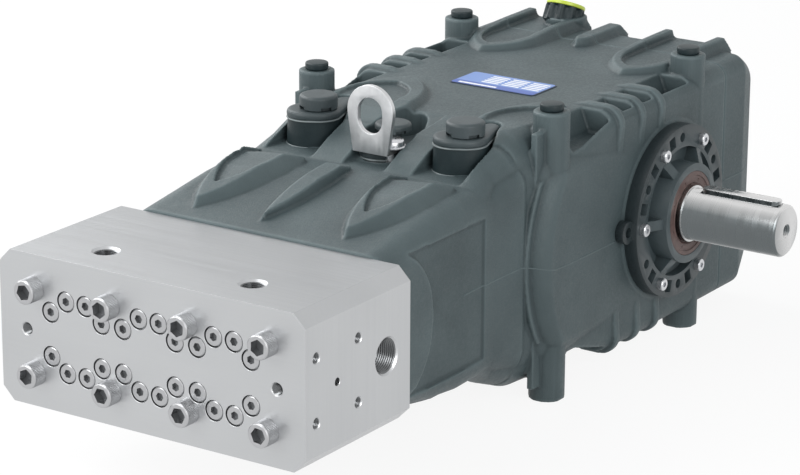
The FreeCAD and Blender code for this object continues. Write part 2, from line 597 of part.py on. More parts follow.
def bead_body(name, setback):
    """A bead that runs out on the deck and bends down over the flank's edge, seen from the front."""
    body = doc.addObject("PartDesign::Body", name)
    sketch = new_sketch(body, name + "_outline", "XZ_Plane", setback + " - sizes.bead_width / 2")
    tip, deck, side = value("sizes.bead_start"), value("fits.deck_height"), value("sizes.body_half_width")
    bend, level, radius = value("fits.bead_bend_reach"), value("fits.bead_bend_level"), value("sizes.bead_bend")
    full, end = tip + value("sizes.bead_taper"), level - 2 * value("sizes.bead_taper")
    line(sketch, (tip, deck), (full, level + radius))
    line(sketch, (full, level + radius), (bend, level + radius))
    arc(sketch, (bend, level), radius, 0, math.pi / 2)
    line(sketch, (bend + radius, level), (side, end))
    line(sketch, (side, end), (bend, level))
    line(sketch, (bend, level), (tip, deck))
    for first, first_end, second, second_end in ((0, 2, 1, 1), (1, 2, 2, 2), (2, 1, 3, 1), (3, 2, 4, 1), (4, 2, 5, 1),
            (5, 2, 0, 1), (2, 3, 4, 2)):
        tie(sketch, "Coincident", first, first_end, second, second_end)
    tie(sketch, "Horizontal", 1)
    tie(sketch, "Vertical", 2, 2, 2, 3)
    tie(sketch, "Horizontal", 2, 1, 2, 3)
    tie(sketch, "Radius", 2, to="sizes.bead_bend")
    tie(sketch, "DistanceX", -1, 1, 4, 2, to="fits.bead_bend_reach")
    tie(sketch, "DistanceY", -1, 1, 4, 2, to="fits.bead_bend_level")
    tie(sketch, "DistanceX", -1, 1, 0, 1, to="sizes.bead_start")
    tie(sketch, "DistanceY", -1, 1, 0, 1, to="fits.deck_height")
    tie(sketch, "DistanceX", -1, 1, 0, 2, to="sizes.bead_start + sizes.bead_taper")
    tie(sketch, "DistanceX", -1, 1, 3, 2, to="sizes.body_half_width")
    tie(sketch, "DistanceY", -1, 1, 3, 2, to="fits.bead_bend_level - 2 * sizes.bead_taper")
    return padded(body, sketch, "sizes.bead_width")


def teardrop_body(name, where, height, inset="0"):
    """A boss or lid: round in front, drawn out to a narrower round tail behind."""
    body = doc.addObject("PartDesign::Body", name)
    sketch = new_sketch(body, name + "_outline", "XY_Plane")
    front_text = "sizes.boss_radius - " + inset
    tail_text = "sizes.boss_tail_radius - " + inset
    front, tail, reach = value(front_text), value(tail_text), value("sizes.boss_tail_reach")
    lean = math.asin((front - tail) / reach)
    arc(sketch, (0, 0), front, math.pi - lean, 2 * math.pi + lean)
    arc(sketch, (0, reach), tail, lean, math.pi - lean)
    for side in (1, -1):
        low = (side * front * math.cos(lean), front * math.sin(lean))
        high = (side * tail * math.cos(lean), reach + tail * math.sin(lean))
        line(sketch, low, high)
    tie(sketch, "Tangent", 0, 2, 2, 1)
    tie(sketch, "Tangent", 2, 2, 1, 1)
    tie(sketch, "Tangent", 1, 2, 3, 2)
    tie(sketch, "Tangent", 3, 1, 0, 1)
    tie(sketch, "Coincident", 0, 3, -1, 1)
    tie(sketch, "PointOnObject", 1, 3, -2)
    tie(sketch, "DistanceY", -1, 1, 1, 3, to="sizes.boss_tail_reach")
    tie(sketch, "Radius", 0, to=front_text)
    tie(sketch, "Radius", 1, to=tail_text)
    return put(padded(body, sketch, height), where)


# Casing: one casting, lofted along Y from the neck behind the head to the joint of the rear cover
HALF = "sizes.body_half_height"
NECK_FRONT = ("fits.head_back", "sizes.front_half_width")
BROW = ("sizes.brow_setback", "sizes.brow_half_width")
SLOPE_TOP = ("sizes.slope_setback", "sizes.slope_half_width")
NECK_BACK = ("sizes.neck_setback", "sizes.neck_half_width")
RAMP_FOOT = ("sizes.ramp_foot_setback", "sizes.neck_half_width", "sizes.ramp_foot", "sizes.neck_corner")
casing_form = loft_body("casing_form", [
    NECK_FRONT + ("sizes.front_half_height", "sizes.front_corner"),
    SLOPE_TOP + ("sizes.slope_half_height", "sizes.neck_corner"),
    BROW + ("sizes.brow_half_height", "sizes.neck_corner"),
    NECK_BACK + ("sizes.neck_half_height", "sizes.neck_corner"),
    ("sizes.rib_setback", "sizes.rib_half_width", "sizes.rib_half_height", "sizes.rib_corner"),
    ("sizes.waist_setback", "sizes.waist_half_width", "sizes.waist_half_height", "sizes.waist_corner"),
    ("sizes.shoulder_setback", "sizes.shoulder_half_width", HALF, "sizes.shoulder_corner"),
    ("sizes.flank_setback", "sizes.body_half_width", HALF, "sizes.body_corner"),
    ("-sizes.cover_joint", "sizes.body_half_width", HALF, "sizes.body_corner"),
])

# Front leaves over the plungers: tips at the head, crests under a ceiling that follows the neck, fields let in
leaf_ceiling = loft_body("leaf_ceiling", [
    NECK_FRONT + ("fits.front_ceiling", "sizes.front_corner"),
    SLOPE_TOP + ("fits.slope_ceiling", "sizes.neck_corner"),
    BROW + ("fits.brow_ceiling", "sizes.neck_corner"),
    RAMP_FOOT,
])
LEAF_FOOT = dict(nose="0", wide="sizes.leaf_wide", half_width="sizes.leaf_half_width", end="sizes.leaf_run")
LEAF_CREST = dict(LEAF_FOOT, nose="sizes.leaf_crest_nose", half_width="sizes.leaf_crest_half_width",
    wide="sizes.leaf_wide + sizes.leaf_crest_nose", lean="-sizes.leaf_lean")
LEAF_FIELD = dict(LEAF_CREST, nose="sizes.field_nose", half_width="sizes.field_half_width")
SMALL_FOOT = dict(nose="0", wide="sizes.small_leaf_wide", half_width="sizes.small_leaf_half_width",
    end="sizes.small_leaf_run")
SMALL_CREST = dict(SMALL_FOOT, nose="sizes.small_crest_nose", half_width="sizes.small_crest_half_width",
    wide="sizes.small_leaf_wide + sizes.small_crest_nose", lean="sizes.small_leaf_lean")
PITCHED = ((1, 0, 0), "fits.leaf_pitch")
relief = []
for side_name, x_text in (("left", "-sizes.boss_pitch"), ("right", "sizes.boss_pitch")):
    where = (x_text, "-sizes.leaf_nose", "fits.leaf_level - sizes.leaf_sink")
    leaf = put(leaf_body("front_leaf_" + side_name, LEAF_FOOT, LEAF_CREST, "sizes.leaf_loft"), where, *PITCHED)
    way = put(leaf_prism("front_field_" + side_name, LEAF_FIELD, "sizes.cut_room"), where, *PITCHED)
    topped = shared("front_leaf_topped_" + side_name, leaf, leaf_ceiling)
    floor = loft_body("front_floor_" + side_name, [
        NECK_FRONT + ("sizes.front_half_height", "sizes.front_corner"),
        SLOPE_TOP + ("fits.slope_floor", "sizes.neck_corner"),
        BROW + ("fits.brow_floor", "sizes.neck_corner"),
        NECK_BACK + ("fits.neck_floor", "sizes.neck_corner"),
    ])
    ridge = "(%s + sizes.ridge_shift)" % x_text
    height = "(sizes.axis_height + fits.brow_floor)"
    put(floor, ("%s * (1 - cos(sizes.field_tilt)) + %s * sin(sizes.field_tilt)" % (ridge, height), "0",
        "%s * (1 - cos(sizes.field_tilt)) - %s * sin(sizes.field_tilt)" % (height, ridge)), (0, 1, 0),
        "-sizes.field_tilt")
    field = less("front_field_cut_" + side_name, way, [floor])
    relief.append(less("front_leaf_whole_" + side_name, topped, [field]))
where = ("-sizes.small_leaf_shift", "-sizes.small_leaf_nose", "fits.small_leaf_level - sizes.leaf_sink")
leaf = put(leaf_body("front_leaf_middle", SMALL_FOOT, SMALL_CREST, "sizes.leaf_loft"), where, *PITCHED)
relief.append(shared("front_leaf_topped_middle", leaf, leaf_ceiling))

# Shoulder ramps that carry the outer bosses, from the neck up to the deck
RAMP_LOW = ("sizes.ramp_low_setback", "sizes.neck_half_width - sizes.ramp_inset")
RAMP_HIGH = ("sizes.ramp_high_setback", "sizes.rib_half_width - sizes.ramp_inset")
SHOULDER = ("sizes.shoulder_setback", "sizes.shoulder_half_width - sizes.ramp_inset")
ramp_ceiling = loft_body("ramp_ceiling", [
    RAMP_FOOT,
    RAMP_LOW + ("sizes.ramp_low", "sizes.neck_corner"),
    RAMP_HIGH + ("sizes.ramp_high", "sizes.rib_corner"),
    SHOULDER + (HALF, "sizes.shoulder_corner"),
])
for side_name, x_text in (("left", "-sizes.boss_pitch"), ("right", "sizes.boss_pitch")):
    ramp = block("ramp_block_" + side_name, (x_text + " - sizes.ramp_width / 2", "-sizes.ramp_foot_setback",
        "sizes.axis_height"), "sizes.ramp_width", "sizes.ramp_foot_setback - sizes.shoulder_setback", "sizes.axis_height")
    relief.append(shared("ramp_" + side_name, ramp, ramp_ceiling))

# Shoulder leaves on the deck behind the outer bosses: tips to the rear, running out on the ramps
shoulder_ceiling = loft_body("shoulder_ceiling", [
    RAMP_FOOT,
    RAMP_LOW + ("sizes.ramp_low", "sizes.neck_corner"),
    RAMP_HIGH + ("sizes.ramp_high", "sizes.rib_corner"),
    ("sizes.waist_setback", "sizes.waist_half_width", "fits.waist_ceiling", "sizes.waist_corner"),
    SHOULDER + ("fits.body_ceiling", "sizes.shoulder_corner"),
    ("sizes.flank_setback", "sizes.body_half_width - sizes.ramp_inset", "fits.body_ceiling", "sizes.body_corner"),
    ("0", "sizes.body_half_width - sizes.ramp_inset", "fits.body_ceiling", "sizes.body_corner"),
])
SHOULDER_FOOT = dict(nose="0", wide="sizes.shoulder_wide", half_width="sizes.shoulder_foot",
    end="sizes.shoulder_run", straight=True)
SHOULDER_ROOT = dict(SHOULDER_FOOT, end="sizes.shoulder_root_run")
SHOULDER_CREST = dict(SHOULDER_FOOT, nose="sizes.shoulder_crest_nose", half_width="sizes.shoulder_crest")
SHOULDER_FIELD = dict(nose="sizes.shoulder_field_nose", half_width="sizes.shoulder_field_half_width",
    wide="sizes.shoulder_field_nose + sizes.shoulder_field_wide", end="sizes.shoulder_run",
    lean="sizes.shoulder_field_lean", straight=True)
off_place = ("sizes.leaf_limit", "sizes.pocket_front_start - sizes.pocket_wall", "sizes.axis_height")
off_pockets = block("off_pockets_right", off_place, "sizes.body_half_width", "sizes.shoulder_setback",
    "sizes.axis_height")
off_pockets_left = mirrored("off_pockets_left", off_pockets)
for side_name, x_text in (("left", "-sizes.boss_pitch"), ("right", "sizes.boss_pitch")):
    where = (x_text + " + sizes.shoulder_shift", "-sizes.shoulder_nose", "fits.deck_height - sizes.shoulder_sink")
    backwards = ((0, 0, 1), "-sizes.shoulder_turn")
    leaf = put(leaf_body("shoulder_leaf_" + side_name, SHOULDER_FOOT, SHOULDER_CREST, "sizes.shoulder_loft"),
        where, *backwards)
    way = put(leaf_prism("shoulder_field_" + side_name, SHOULDER_FIELD, "sizes.cut_room"),
        where[:2] + ("fits.deck_height + sizes.shoulder_sink",), *backwards)
    root = put(leaf_prism("shoulder_root_" + side_name, SHOULDER_ROOT, "sizes.shoulder_root - sizes.shoulder_sink"),
        where[:2] + ("fits.deck_height - sizes.shoulder_root",), *backwards)
    rooted = fused("shoulder_leaf_rooted_" + side_name, [leaf, root])
    topped = shared("shoulder_leaf_topped_" + side_name, rooted, shoulder_ceiling)
    relief.append(less("shoulder_leaf_whole_" + side_name, topped, [way, off_pockets, off_pockets_left]))

# Rear leaves over the crank: crests rise to the joint and run on level over the rear cover
behind = block("behind_joint", ("-sizes.body_half_width", "sizes.cover_joint", "sizes.axis_height"),
    "2 * sizes.body_half_width", "sizes.cover_depth", "sizes.axis_height")
roof = block("rear_leaf_roof", ("-sizes.body_half_width", "0", "fits.deck_height + sizes.rear_leaf_rise"),
    "2 * sizes.body_half_width", "fits.cover_back", "sizes.cut_room")
REAR_FOOT = dict(nose="0", wide="sizes.rear_leaf_wide", half_width="sizes.rear_leaf_half_width",
    end="fits.rear_leaf_run", straight=True)
REAR_CREST = dict(REAR_FOOT, nose="sizes.rear_crest_nose", half_width="sizes.rear_crest_half_width",
    end="fits.rear_leaf_run - sizes.rear_leaf_margin")
REAR_FIELD = dict(REAR_FOOT, nose="sizes.rear_field_nose", half_width="sizes.rear_field_half_width")
SMALL_REAR_FOOT = dict(nose="0", wide="sizes.small_rear_wide", half_width="sizes.small_rear_half_width",
    end="fits.small_rear_run", straight=True)
SMALL_REAR_CREST = dict(SMALL_REAR_FOOT, nose="sizes.small_rear_crest", half_width="sizes.small_rear_crest",
    end="fits.small_rear_run - sizes.rear_leaf_margin")
cover_relief = []
for side_name, x_text in (("left", "-sizes.boss_pitch"), ("right", "sizes.boss_pitch")):
    foot_level = "fits.deck_height - sizes.leaf_sink"
    leaf = put(leaf_body("rear_leaf_" + side_name, REAR_FOOT, REAR_CREST,
        "sizes.leaf_sink + sizes.rear_crest_start", "fits.rear_crest_tilt"), (x_text, "sizes.rear_leaf_nose", foot_level))
    way = put(leaf_prism("rear_field_" + side_name, REAR_FIELD, "sizes.cut_room"),
        (x_text, "sizes.rear_leaf_nose", "fits.deck_height + sizes.rear_field_floor"))
    whole = less("rear_leaf_whole_" + side_name, leaf, [roof, way])
    relief.append(less("rear_leaf_casing_" + side_name, whole, [behind]))
    cover_relief.append(shared("rear_leaf_cover_" + side_name, whole, behind))
leaf = put(leaf_body("rear_leaf_middle", SMALL_REAR_FOOT, SMALL_REAR_CREST, "sizes.leaf_sink + sizes.small_rear_rise"),
    ("-sizes.small_leaf_shift", "sizes.small_rear_nose", "fits.deck_height - sizes.leaf_sink"))
relief.append(less("rear_leaf_casing_middle", leaf, [behind]))
cover_relief.append(shared("rear_leaf_cover_middle", leaf, behind))

# Beads between the pockets, from the deck over the flank's edge
beads = [bead_body("deck_bead_first", "sizes.bead_first"), bead_body("deck_bead_second", "(-sizes.bead_second)"),
    bead_body("deck_bead_third", "(-sizes.bead_third)")]
deck_beads = gathered("deck_beads", beads)
relief += [deck_beads, mirrored("deck_beads_left", deck_beads)]
casing_relief = fused("casing_relief", relief)

# Four posts that end in feet, each with a threaded hole at both ends and a plug in its top
posts = []
post_holes = []
for side, side_name in ((1, "right"), (-1, "left")):
    for end, end_name in ((-1, "front"), (1, "rear")):
        where = ("%d * fits.foot_x" % side, "%d * fits.foot_y" % end)
        label = "%s_%s" % (end_name, side_name)
        posts.append(rod("post_" + label, where + ("0",), "sizes.post_radius", "sizes.post_height"))
        post_holes.append(rod("foot_hole_" + label, where + ("0",), "sizes.foot_hole_radius", "sizes.foot_hole_depth"))
        top = where + ("sizes.post_height - sizes.foot_hole_depth",)
        post_holes.append(rod("top_hole_" + label, top, "sizes.top_hole_radius", "sizes.foot_hole_depth"))
        head = rod("plug_head_" + label, where + ("sizes.post_height",), "sizes.plug_radius", "sizes.plug_head")
        stem_place = where + ("sizes.post_height - sizes.plug_stem",)
        stem = rod("plug_stem_" + label, stem_place, "sizes.top_hole_radius - sizes.fit_gap", "sizes.plug_stem")
        part("post_plug_" + label, fused("plug_" + label, [head, stem]))
    web_place = ("%d * fits.foot_x - sizes.web_thickness / 2" % side, "-fits.foot_y - sizes.web_reach", "sizes.web_drop")
    posts.append(block("post_web_" + side_name, web_place, "sizes.web_thickness", "sizes.web_reach",
        "sizes.post_height - 2 * sizes.web_drop"))

# A thin fin between each front post's head and foot, bowed forward on the neck's side
fin_place = ("fits.foot_x - sizes.web_thickness / 2", "-sizes.fin_setback", "sizes.axis_height")
fin_disc = rod("fin_disc", fin_place, "sizes.fin_radius", "fits.fin_reach", ALONG_X)
fin_inside = rod("fin_inside", fin_place, "sizes.fin_radius - sizes.fin_depth", "fits.fin_reach", ALONG_X)
fin_zone = block("fin_zone", (fin_place[0], "-sizes.fin_setback - sizes.fin_radius",
    "sizes.axis_height - sizes.fin_half_height"), "fits.fin_reach", "sizes.cut_room", "2 * sizes.fin_half_height")
fin = shared("fin_right", less("fin_ring", fin_disc, [fin_inside]), fin_zone)
posts += [fin, mirrored("fin_left", fin)]

# A round cheek on each flank behind that fin, which takes in the middle of the front post
cheek_place = ("sizes.cheek_root",) + fin_place[1:]
cheek_disc = rod("cheek_disc", cheek_place, "sizes.fin_radius - sizes.fin_depth", "sizes.cheek_face - sizes.cheek_root",
    ALONG_X)
cheek_round = edged("Fillet", "cheek_round", cheek_disc, "sizes.cheek_edge",
    lambda edge: edge.BoundBox.XMin > value("fits.foot_x"))
cheek_form = loft_body("cheek_form", [
    ("sizes.fin_setback + sizes.fin_radius", "sizes.cheek_face", "sizes.cheek_half_height", "sizes.cheek_corner"),
    ("-sizes.cheek_end", "sizes.cheek_end_half_width", "sizes.cheek_half_height", "sizes.cheek_corner"),
])
cheek = shared("cheek_right", cheek_round, cheek_form)
cheeks = gathered("cheeks", [cheek, mirrored("cheek_left", cheek)])

# Access bosses, each with a lid and a mushroom cap; the middle one sits lower and carries the lifting eye
EYE_SCREW = ("sizes.eye_screw_shift", "-fits.eye_screw_setback")
OUTER_BASE = "sizes.boss_top"
MIDDLE_BASE = "sizes.boss_top - sizes.boss_drop"
bosses = []
recesses = []
OUTER = (OUTER_BASE, "sizes.recess_floor", "sizes.hood_height")
MIDDLE = (MIDDLE_BASE, "sizes.middle_recess_floor", "sizes.middle_hood_height")
for label, x_text, (top, floor_level, hood_height) in (("left", "-sizes.boss_pitch", OUTER),
        ("right", "sizes.boss_pitch", OUTER), ("middle", "0", MIDDLE)):
    spot = (x_text, "-sizes.boss_setback")
    hood_foot = top + " - " + hood_height
    bosses.append(teardrop_body("boss_" + label, spot + ("sizes.axis_height",), hood_foot + " - sizes.axis_height"))
    shifted = x_text + " - sizes.recess_shift"
    recesses.append(teardrop_body("recess_" + label, (shifted, spot[1], floor_level), "sizes.cut_room",
        "(-sizes.recess_margin)"))
    if label != "middle":
        mouth = (shifted + " - sizes.boss_radius - sizes.recess_margin", "-sizes.ramp_foot_setback", floor_level)
        recesses.append(block("recess_mouth_" + label, mouth, "2 * (sizes.boss_radius + sizes.recess_margin)",
            "sizes.ramp_foot_setback - sizes.boss_setback", "sizes.cut_room"))
    hood = teardrop_body("hood_" + label, spot + (hood_foot,), hood_height)
    lid = teardrop_body("lid_form_" + label, spot + (top,), "sizes.lid_height", "sizes.lid_inset")
    base = top + " + sizes.lid_height"
    lid_top = value(base)
    rim = edged("Chamfer", "lid_bevel_" + label, lid, "sizes.lid_round", lambda edge: edge.BoundBox.ZMin > lid_top - 0.01)
    rise, wide, high, stem = "sizes.cap_neck_height", "sizes.cap_radius", "sizes.cap_height", "sizes.cap_neck_radius"
    if label == "middle":
        rise = "sizes.eye_plate + sizes.eye_washer_height + sizes.eye_screw_height + sizes.cap_lift"
        wide, high, stem = "sizes.middle_cap_radius", "sizes.middle_cap_height", "sizes.middle_neck_radius"
        spot = (x_text, "-fits.middle_cap_setback")
        screw_way = rod("eye_screw_way_lid", EYE_SCREW + (hood_foot,), "sizes.eye_screw_shank + sizes.fit_gap",
            "sizes.middle_hood_height + sizes.lid_height")
    hooded = fused("hooded_" + label, [hood, rim])
    part("access_lid_" + label, less("lid_drilled", hooded, [screw_way]) if label == "middle" else hooded)
    neck = rod("cap_neck_" + label, spot + (base,), stem, rise)
    head = rod("cap_head_" + label, spot + (base + " + " + rise,), wide, high)
    cap_top = value(base + " + " + rise + " + " + high)
    soft = edged("Chamfer", "cap_bevel_" + label, head, "sizes.cap_round",
        lambda edge: edge.BoundBox.ZMin > cap_top - 0.01)
    part("mushroom_cap_" + label, fused("cap_" + label, [neck, soft]))
upper_bosses = gathered("upper_bosses", bosses)
upper_recesses = fused("upper_recesses", recesses)

# Recessed panels in the neck's sides, behind the round flange at the head
flange_round = rod("flange_round", ("-sizes.body_half_width", "-fits.head_back", "sizes.axis_height"),
    "sizes.panel_radius", "2 * sizes.body_half_width", ALONG_X)
hollows = []
for side, side_name in ((1, "right"), (-1, "left")):
    inner = "sizes.slope_half_width - sizes.panel_depth"
    x_text = inner if side > 0 else "-(" + inner + " + sizes.cut_room)"
    panel = block("panel_" + side_name, (x_text, "-fits.head_back", "sizes.axis_height - sizes.panel_half_height"),
        "sizes.cut_room", "fits.head_back - sizes.panel_back", "2 * sizes.panel_half_height")
    hollows.append(less("panel_cut_" + side_name, panel, [flange_round]))

# Pockets between the deck and the flanks, above and below
POCKETS = (("front", "pocket_front_start", "pocket_front_run"), ("second", "pocket_second_start", "pocket_small_run"),
    ("third", "pocket_third_start", "pocket_small_run"), ("back", "pocket_back_start", "pocket_back_run"))
pockets = []
for label, start, run in POCKETS:
    where = ("sizes.body_half_width - sizes.pocket_wall - sizes.pocket_reach", "sizes.%s + sizes.%s" % (start, run),
        "fits.deck_height - sizes.pocket_depth")
    pockets.append(shape_of("Wedge", "pocket_" + label, where, STANDING, Xmin="0", Xmax="sizes.pocket_reach",
        X2min="-sizes.pocket_ramp", X2max="sizes.pocket_reach", Ymin="0", Ymax="sizes.pocket_depth + sizes.seat_height",
        Zmin="0", Zmax="sizes." + run, Z2min="0", Z2max="sizes." + run))
right_pockets = gathered("right_pockets", pockets)
deck_pockets = gathered("deck_pockets", [right_pockets, mirrored("left_pockets", right_pockets)])
hollows += [deck_pockets, turned_over("under_pockets", deck_pockets)]

# Seats for the bearing covers, and the holes of the casing
axis = ("sizes.crank_setback", "sizes.axis_height")
seats = rod("cover_seats", ("-fits.seat_face",) + axis, "sizes.seat_radius", "2 * fits.seat_face", ALONG_X)
hollows.append(rod("shaft_bore", ("sizes.shaft_root - sizes.way_margin",) + axis,
    "sizes.journal_radius + sizes.shaft_clearance", "sizes.body_half_width", ALONG_X))
hollows.append(rod("eye_screw_hole", EYE_SCREW + ("fits.eye_foot_level - sizes.eye_screw_length",),
    "sizes.eye_screw_shank + sizes.fit_gap", "sizes.eye_screw_length"))
HEAD_SCREWS = [("%d_%s" % (column + 1, name), "%r * sizes.bolt_pitch" % (column - 1.5),
    "sizes.axis_height + %r * sizes.bolt_rise" % row)
    for column in range(4) for row, name in ((-0.5, "low"), (0.5, "high"))]
for label, x_text, z_text in HEAD_SCREWS:
    hollows.append(rod("bolt_hole_" + label, (x_text, "-fits.head_back", z_text),
        "sizes.bolt_shank_radius + sizes.fit_gap", "sizes.bolt_bite + sizes.way_margin", ALONG_Y))

raised = fused("casing_raised", [casing_form, casing_relief, turned_over("under_relief", casing_relief)])
recessed = less("casing_recessed", raised, [upper_recesses, turned_over("under_recesses", upper_recesses)])
under_bosses = turned_over("under_bosses", upper_bosses)
casing_whole = fused("casing_whole", [recessed, cheeks, upper_bosses, under_bosses, seats])
casing_cut = less("casing_cut", casing_whole, hollows)
posts_whole = fused("posts_whole", [casing_cut] + posts)
part("casing", less("casing_drilled", posts_whole, post_holes))

# Rear cover, with the leaves carried on over it, the filler's boss, oil level glass and drain plug
rear_cover_form = loft_body("rear_cover_form", [
    ("-sizes.cover_joint", "sizes.body_half_width", HALF, "sizes.body_corner"),
    ("-fits.cover_close", "sizes.body_half_width", HALF, "sizes.body_corner"),
    ("-fits.cover_back", "fits.cover_back_half_width", "fits.cover_back_half_height", "fits.cover_back_corner"),
])
filler = ("-sizes.filler_shift", "sizes.filler_setback")
filler_boss = rod("filler_boss", filler + ("sizes.axis_height",), "sizes.filler_boss_radius",
    "sizes.body_half_height + sizes.rear_leaf_rise")
upper_cover_relief = gathered("upper_cover_relief", cover_relief)
part("rear_cover", fused("rear_cover_whole", [rear_cover_form, upper_cover_relief,
    turned_over("under_cover_relief", upper_cover_relief), filler_boss]))
filler_seat = "fits.deck_height + sizes.rear_leaf_rise"
part("filler_cap", rod("filler_body", filler + (filler_seat,), "sizes.filler_radius",
    "sizes.filler_height - sizes.filler_rim"))
part("filler_top", rod("filler_disc", filler + (filler_seat + " + sizes.filler_height - sizes.filler_rim",),
    "sizes.filler_radius", "sizes.filler_rim"))
part("oil_level_glass", rod("glass_disc", ("0", "fits.cover_back", "sizes.axis_height - sizes.glass_drop"),
    "sizes.glass_radius", "sizes.glass_height", ALONG_Y))
part("drain_plug", shape_of("Prism", "drain_hexagon", ("0", "fits.cover_back", "sizes.axis_height - sizes.drain_drop"),
    ALONG_Y, Circumradius="sizes.drain_radius", Height="sizes.drain_height"))

# Fluid head: a block bored from behind for the plungers, with ports on top and at the sides
head_block = block("head_block", ("-sizes.head_width / 2", "-sizes.head_front", "fits.head_base"),
    "sizes.head_width", "sizes.head_depth", "sizes.head_height")
bevelled = edged("Chamfer", "head_bevelled", head_block, "sizes.head_chamfer",
    lambda edge: edge.BoundBox.YLength > value("sizes.head_depth / 2"))
head_holes = []
for number in (-1, 0, 1):
    where = ("%d * sizes.cylinder_pitch" % number, "-fits.head_back - sizes.plunger_bore_depth", "sizes.axis_height")
    head_holes.append(rod("plunger_bore_%d" % (number + 2), where, "sizes.plunger_bore_radius",
        "sizes.plunger_bore_depth", ALONG_Y))
for side, side_name in ((-1, "left"), (1, "right")):
    where = ("%r * sizes.port_spacing" % (side / 2), "sizes.port_setback - sizes.head_front",
        "fits.head_top - sizes.port_depth")
    head_holes.append(rod("top_port_" + side_name, where, "sizes.port_radius", "sizes.port_depth"))
    outer = "sizes.head_width / 2"
    x_text = outer + " - sizes.inlet_depth" if side > 0 else "-" + outer
    where = (x_text, "sizes.inlet_setback - sizes.head_front", "sizes.axis_height")
    head_holes.append(rod("inlet_" + side_name, where, "sizes.inlet_radius", "sizes.inlet_depth", ALONG_X))
    x_text = outer + " - sizes.flange_hole_depth" if side > 0 else "-" + outer
    for along in (0, 1):
        for row, row_name in ((-0.5, "low"), (0.5, "high")):
            where = (x_text, "sizes.flange_hole_setback + %d * sizes.flange_hole_pitch - sizes.head_front" % along,
                "sizes.axis_height + %r * sizes.flange_hole_rise" % row)
            head_holes.append(rod("flange_hole_%s_%d_%s" % (side_name, along, row_name), where,
                "sizes.flange_hole_radius", "sizes.flange_hole_depth", ALONG_X))
screws = []
for label, x_text, z_text in HEAD_SCREWS:
    place = (x_text, "-sizes.head_front", z_text)
    head_holes.append(rod("bolt_way_" + label, place, "sizes.bolt_shank_radius + sizes.fit_gap", "sizes.head_depth",
        ALONG_Y))
    shank = rod("bolt_shank_" + label, place, "sizes.bolt_shank_radius", "sizes.head_depth + sizes.bolt_bite", ALONG_Y)
    front = (x_text, "-sizes.head_front - sizes.bolt_head_height", z_text)
    cap = rod("bolt_cap_" + label, front, "sizes.bolt_head_radius", "sizes.bolt_head_height", ALONG_Y)
    socket = shape_of("Prism", "bolt_socket_" + label, front, ALONG_Y, Circumradius="sizes.bolt_key_radius",
        Height="sizes.bolt_key_depth")
    screws.append(less("head_screw_" + label, fused("bolt_" + label, [shank, cap]), [socket]))
part("fluid_head", less("head_drilled", bevelled, head_holes))
part("head_screws", gathered("head_screw_set", screws))


def crank_disc(name, side, radius, inner, outer):
    """A disc on the crank axis, from one distance to another off the middle plane."""
    start = inner if side > 0 else "-(" + outer + ")"
    return rod(name, (start,) + axis, radius, "(" + outer + ") - (" + inner + ")", ALONG_X)


def spoke(name, side, ring, angle, across, reach, inner, outer):
    """A block on a ray from the crank axis, centred at the distance ring and turned with the ray."""
    start = inner if side > 0 else "-(" + outer + ")"
    along = "((%s) - (%s) / 2)" % (ring, reach)
    where = (start, "sizes.crank_setback + %s * cos(%d) + %s / 2 * sin(%d)" % (along, angle, across, angle),
        "sizes.axis_height + %s * sin(%d) - %s / 2 * cos(%d)" % (along, angle, across, angle))
    return shape_of("Box", name, where, FreeCAD.Rotation(FreeCAD.Vector(1, 0, 0), angle),
        Length="(" + outer + ") - (" + inner + ")", Width=reach, Height=across)


def bearing_cover(name, side, open_centre):
    """A cover bolted over the crank bearing: ring groove with ribs, windows and holes round the edge, hub."""
    face, hub, base = "fits.flange_face", "fits.hub_face", "fits.seat_face"
    floor = face + " - sizes.groove_depth"
    disc = crank_disc(name + "_disc", side, "sizes.flange_radius", base, face)
    trench = crank_disc(name + "_trench", side, "sizes.groove_outer", floor, face)
    boss = crank_disc(name + "_hub", side, "sizes.groove_inner", floor, hub)
    ribs = [spoke("%s_rib_%d" % (name, angle), side, "0", angle, "sizes.rib_width", "2 * sizes.groove_outer", floor, face)
        for angle in (0, 60, 120)]
    lug_place = "sizes.crank_setback - sizes.lug_ring"
    lug_start = base if side > 0 else "-(" + base + " + sizes.lug_thickness)"
    lug = rod(name + "_lug", (lug_start, lug_place, "sizes.axis_height"), "sizes.lug_radius", "sizes.lug_thickness",
        ALONG_X)
    lug_hole = rod(name + "_lug_hole", (lug_start, lug_place, "sizes.axis_height"), "sizes.lug_hole_radius",
        "sizes.lug_thickness", ALONG_X)
    solid = fused(name + "_solid", [less(name + "_grooved", disc, [trench]), boss, lug] + ribs)
    sunk = face + " - sizes.window_depth"
    start = sunk if side > 0 else "-" + face
    cuts = [lug_hole]
    for angle in range(30, 360, 60):
        where = (start, "sizes.crank_setback + cos(%d) * sizes.cover_hole_ring" % angle,
            "sizes.axis_height + sin(%d) * sizes.cover_hole_ring" % angle)
        cuts.append(rod("%s_hole_%d" % (name, angle), where, "sizes.cover_hole_radius", "sizes.window_depth", ALONG_X))
    for angle in range(15, 360, 30):
        if angle not in (75, 195, 315):
            cuts.append(spoke("%s_window_%d" % (name, angle), side, "sizes.cover_hole_ring", angle, "sizes.window_width",
                "sizes.window_reach", sunk, face))
    if open_centre:
        cuts.append(crank_disc(name + "_seal_seat", side, "sizes.seal_radius", hub + " - sizes.seal_width", hub))
        cuts.append(crank_disc(name + "_way", side, "sizes.journal_radius + sizes.way_margin", base, hub))
    return less(name + "_form", solid, cuts)


part("bearing_cover", bearing_cover("shaft_cover", 1, True))
part("blind_cover", bearing_cover("closed_cover", -1, False))

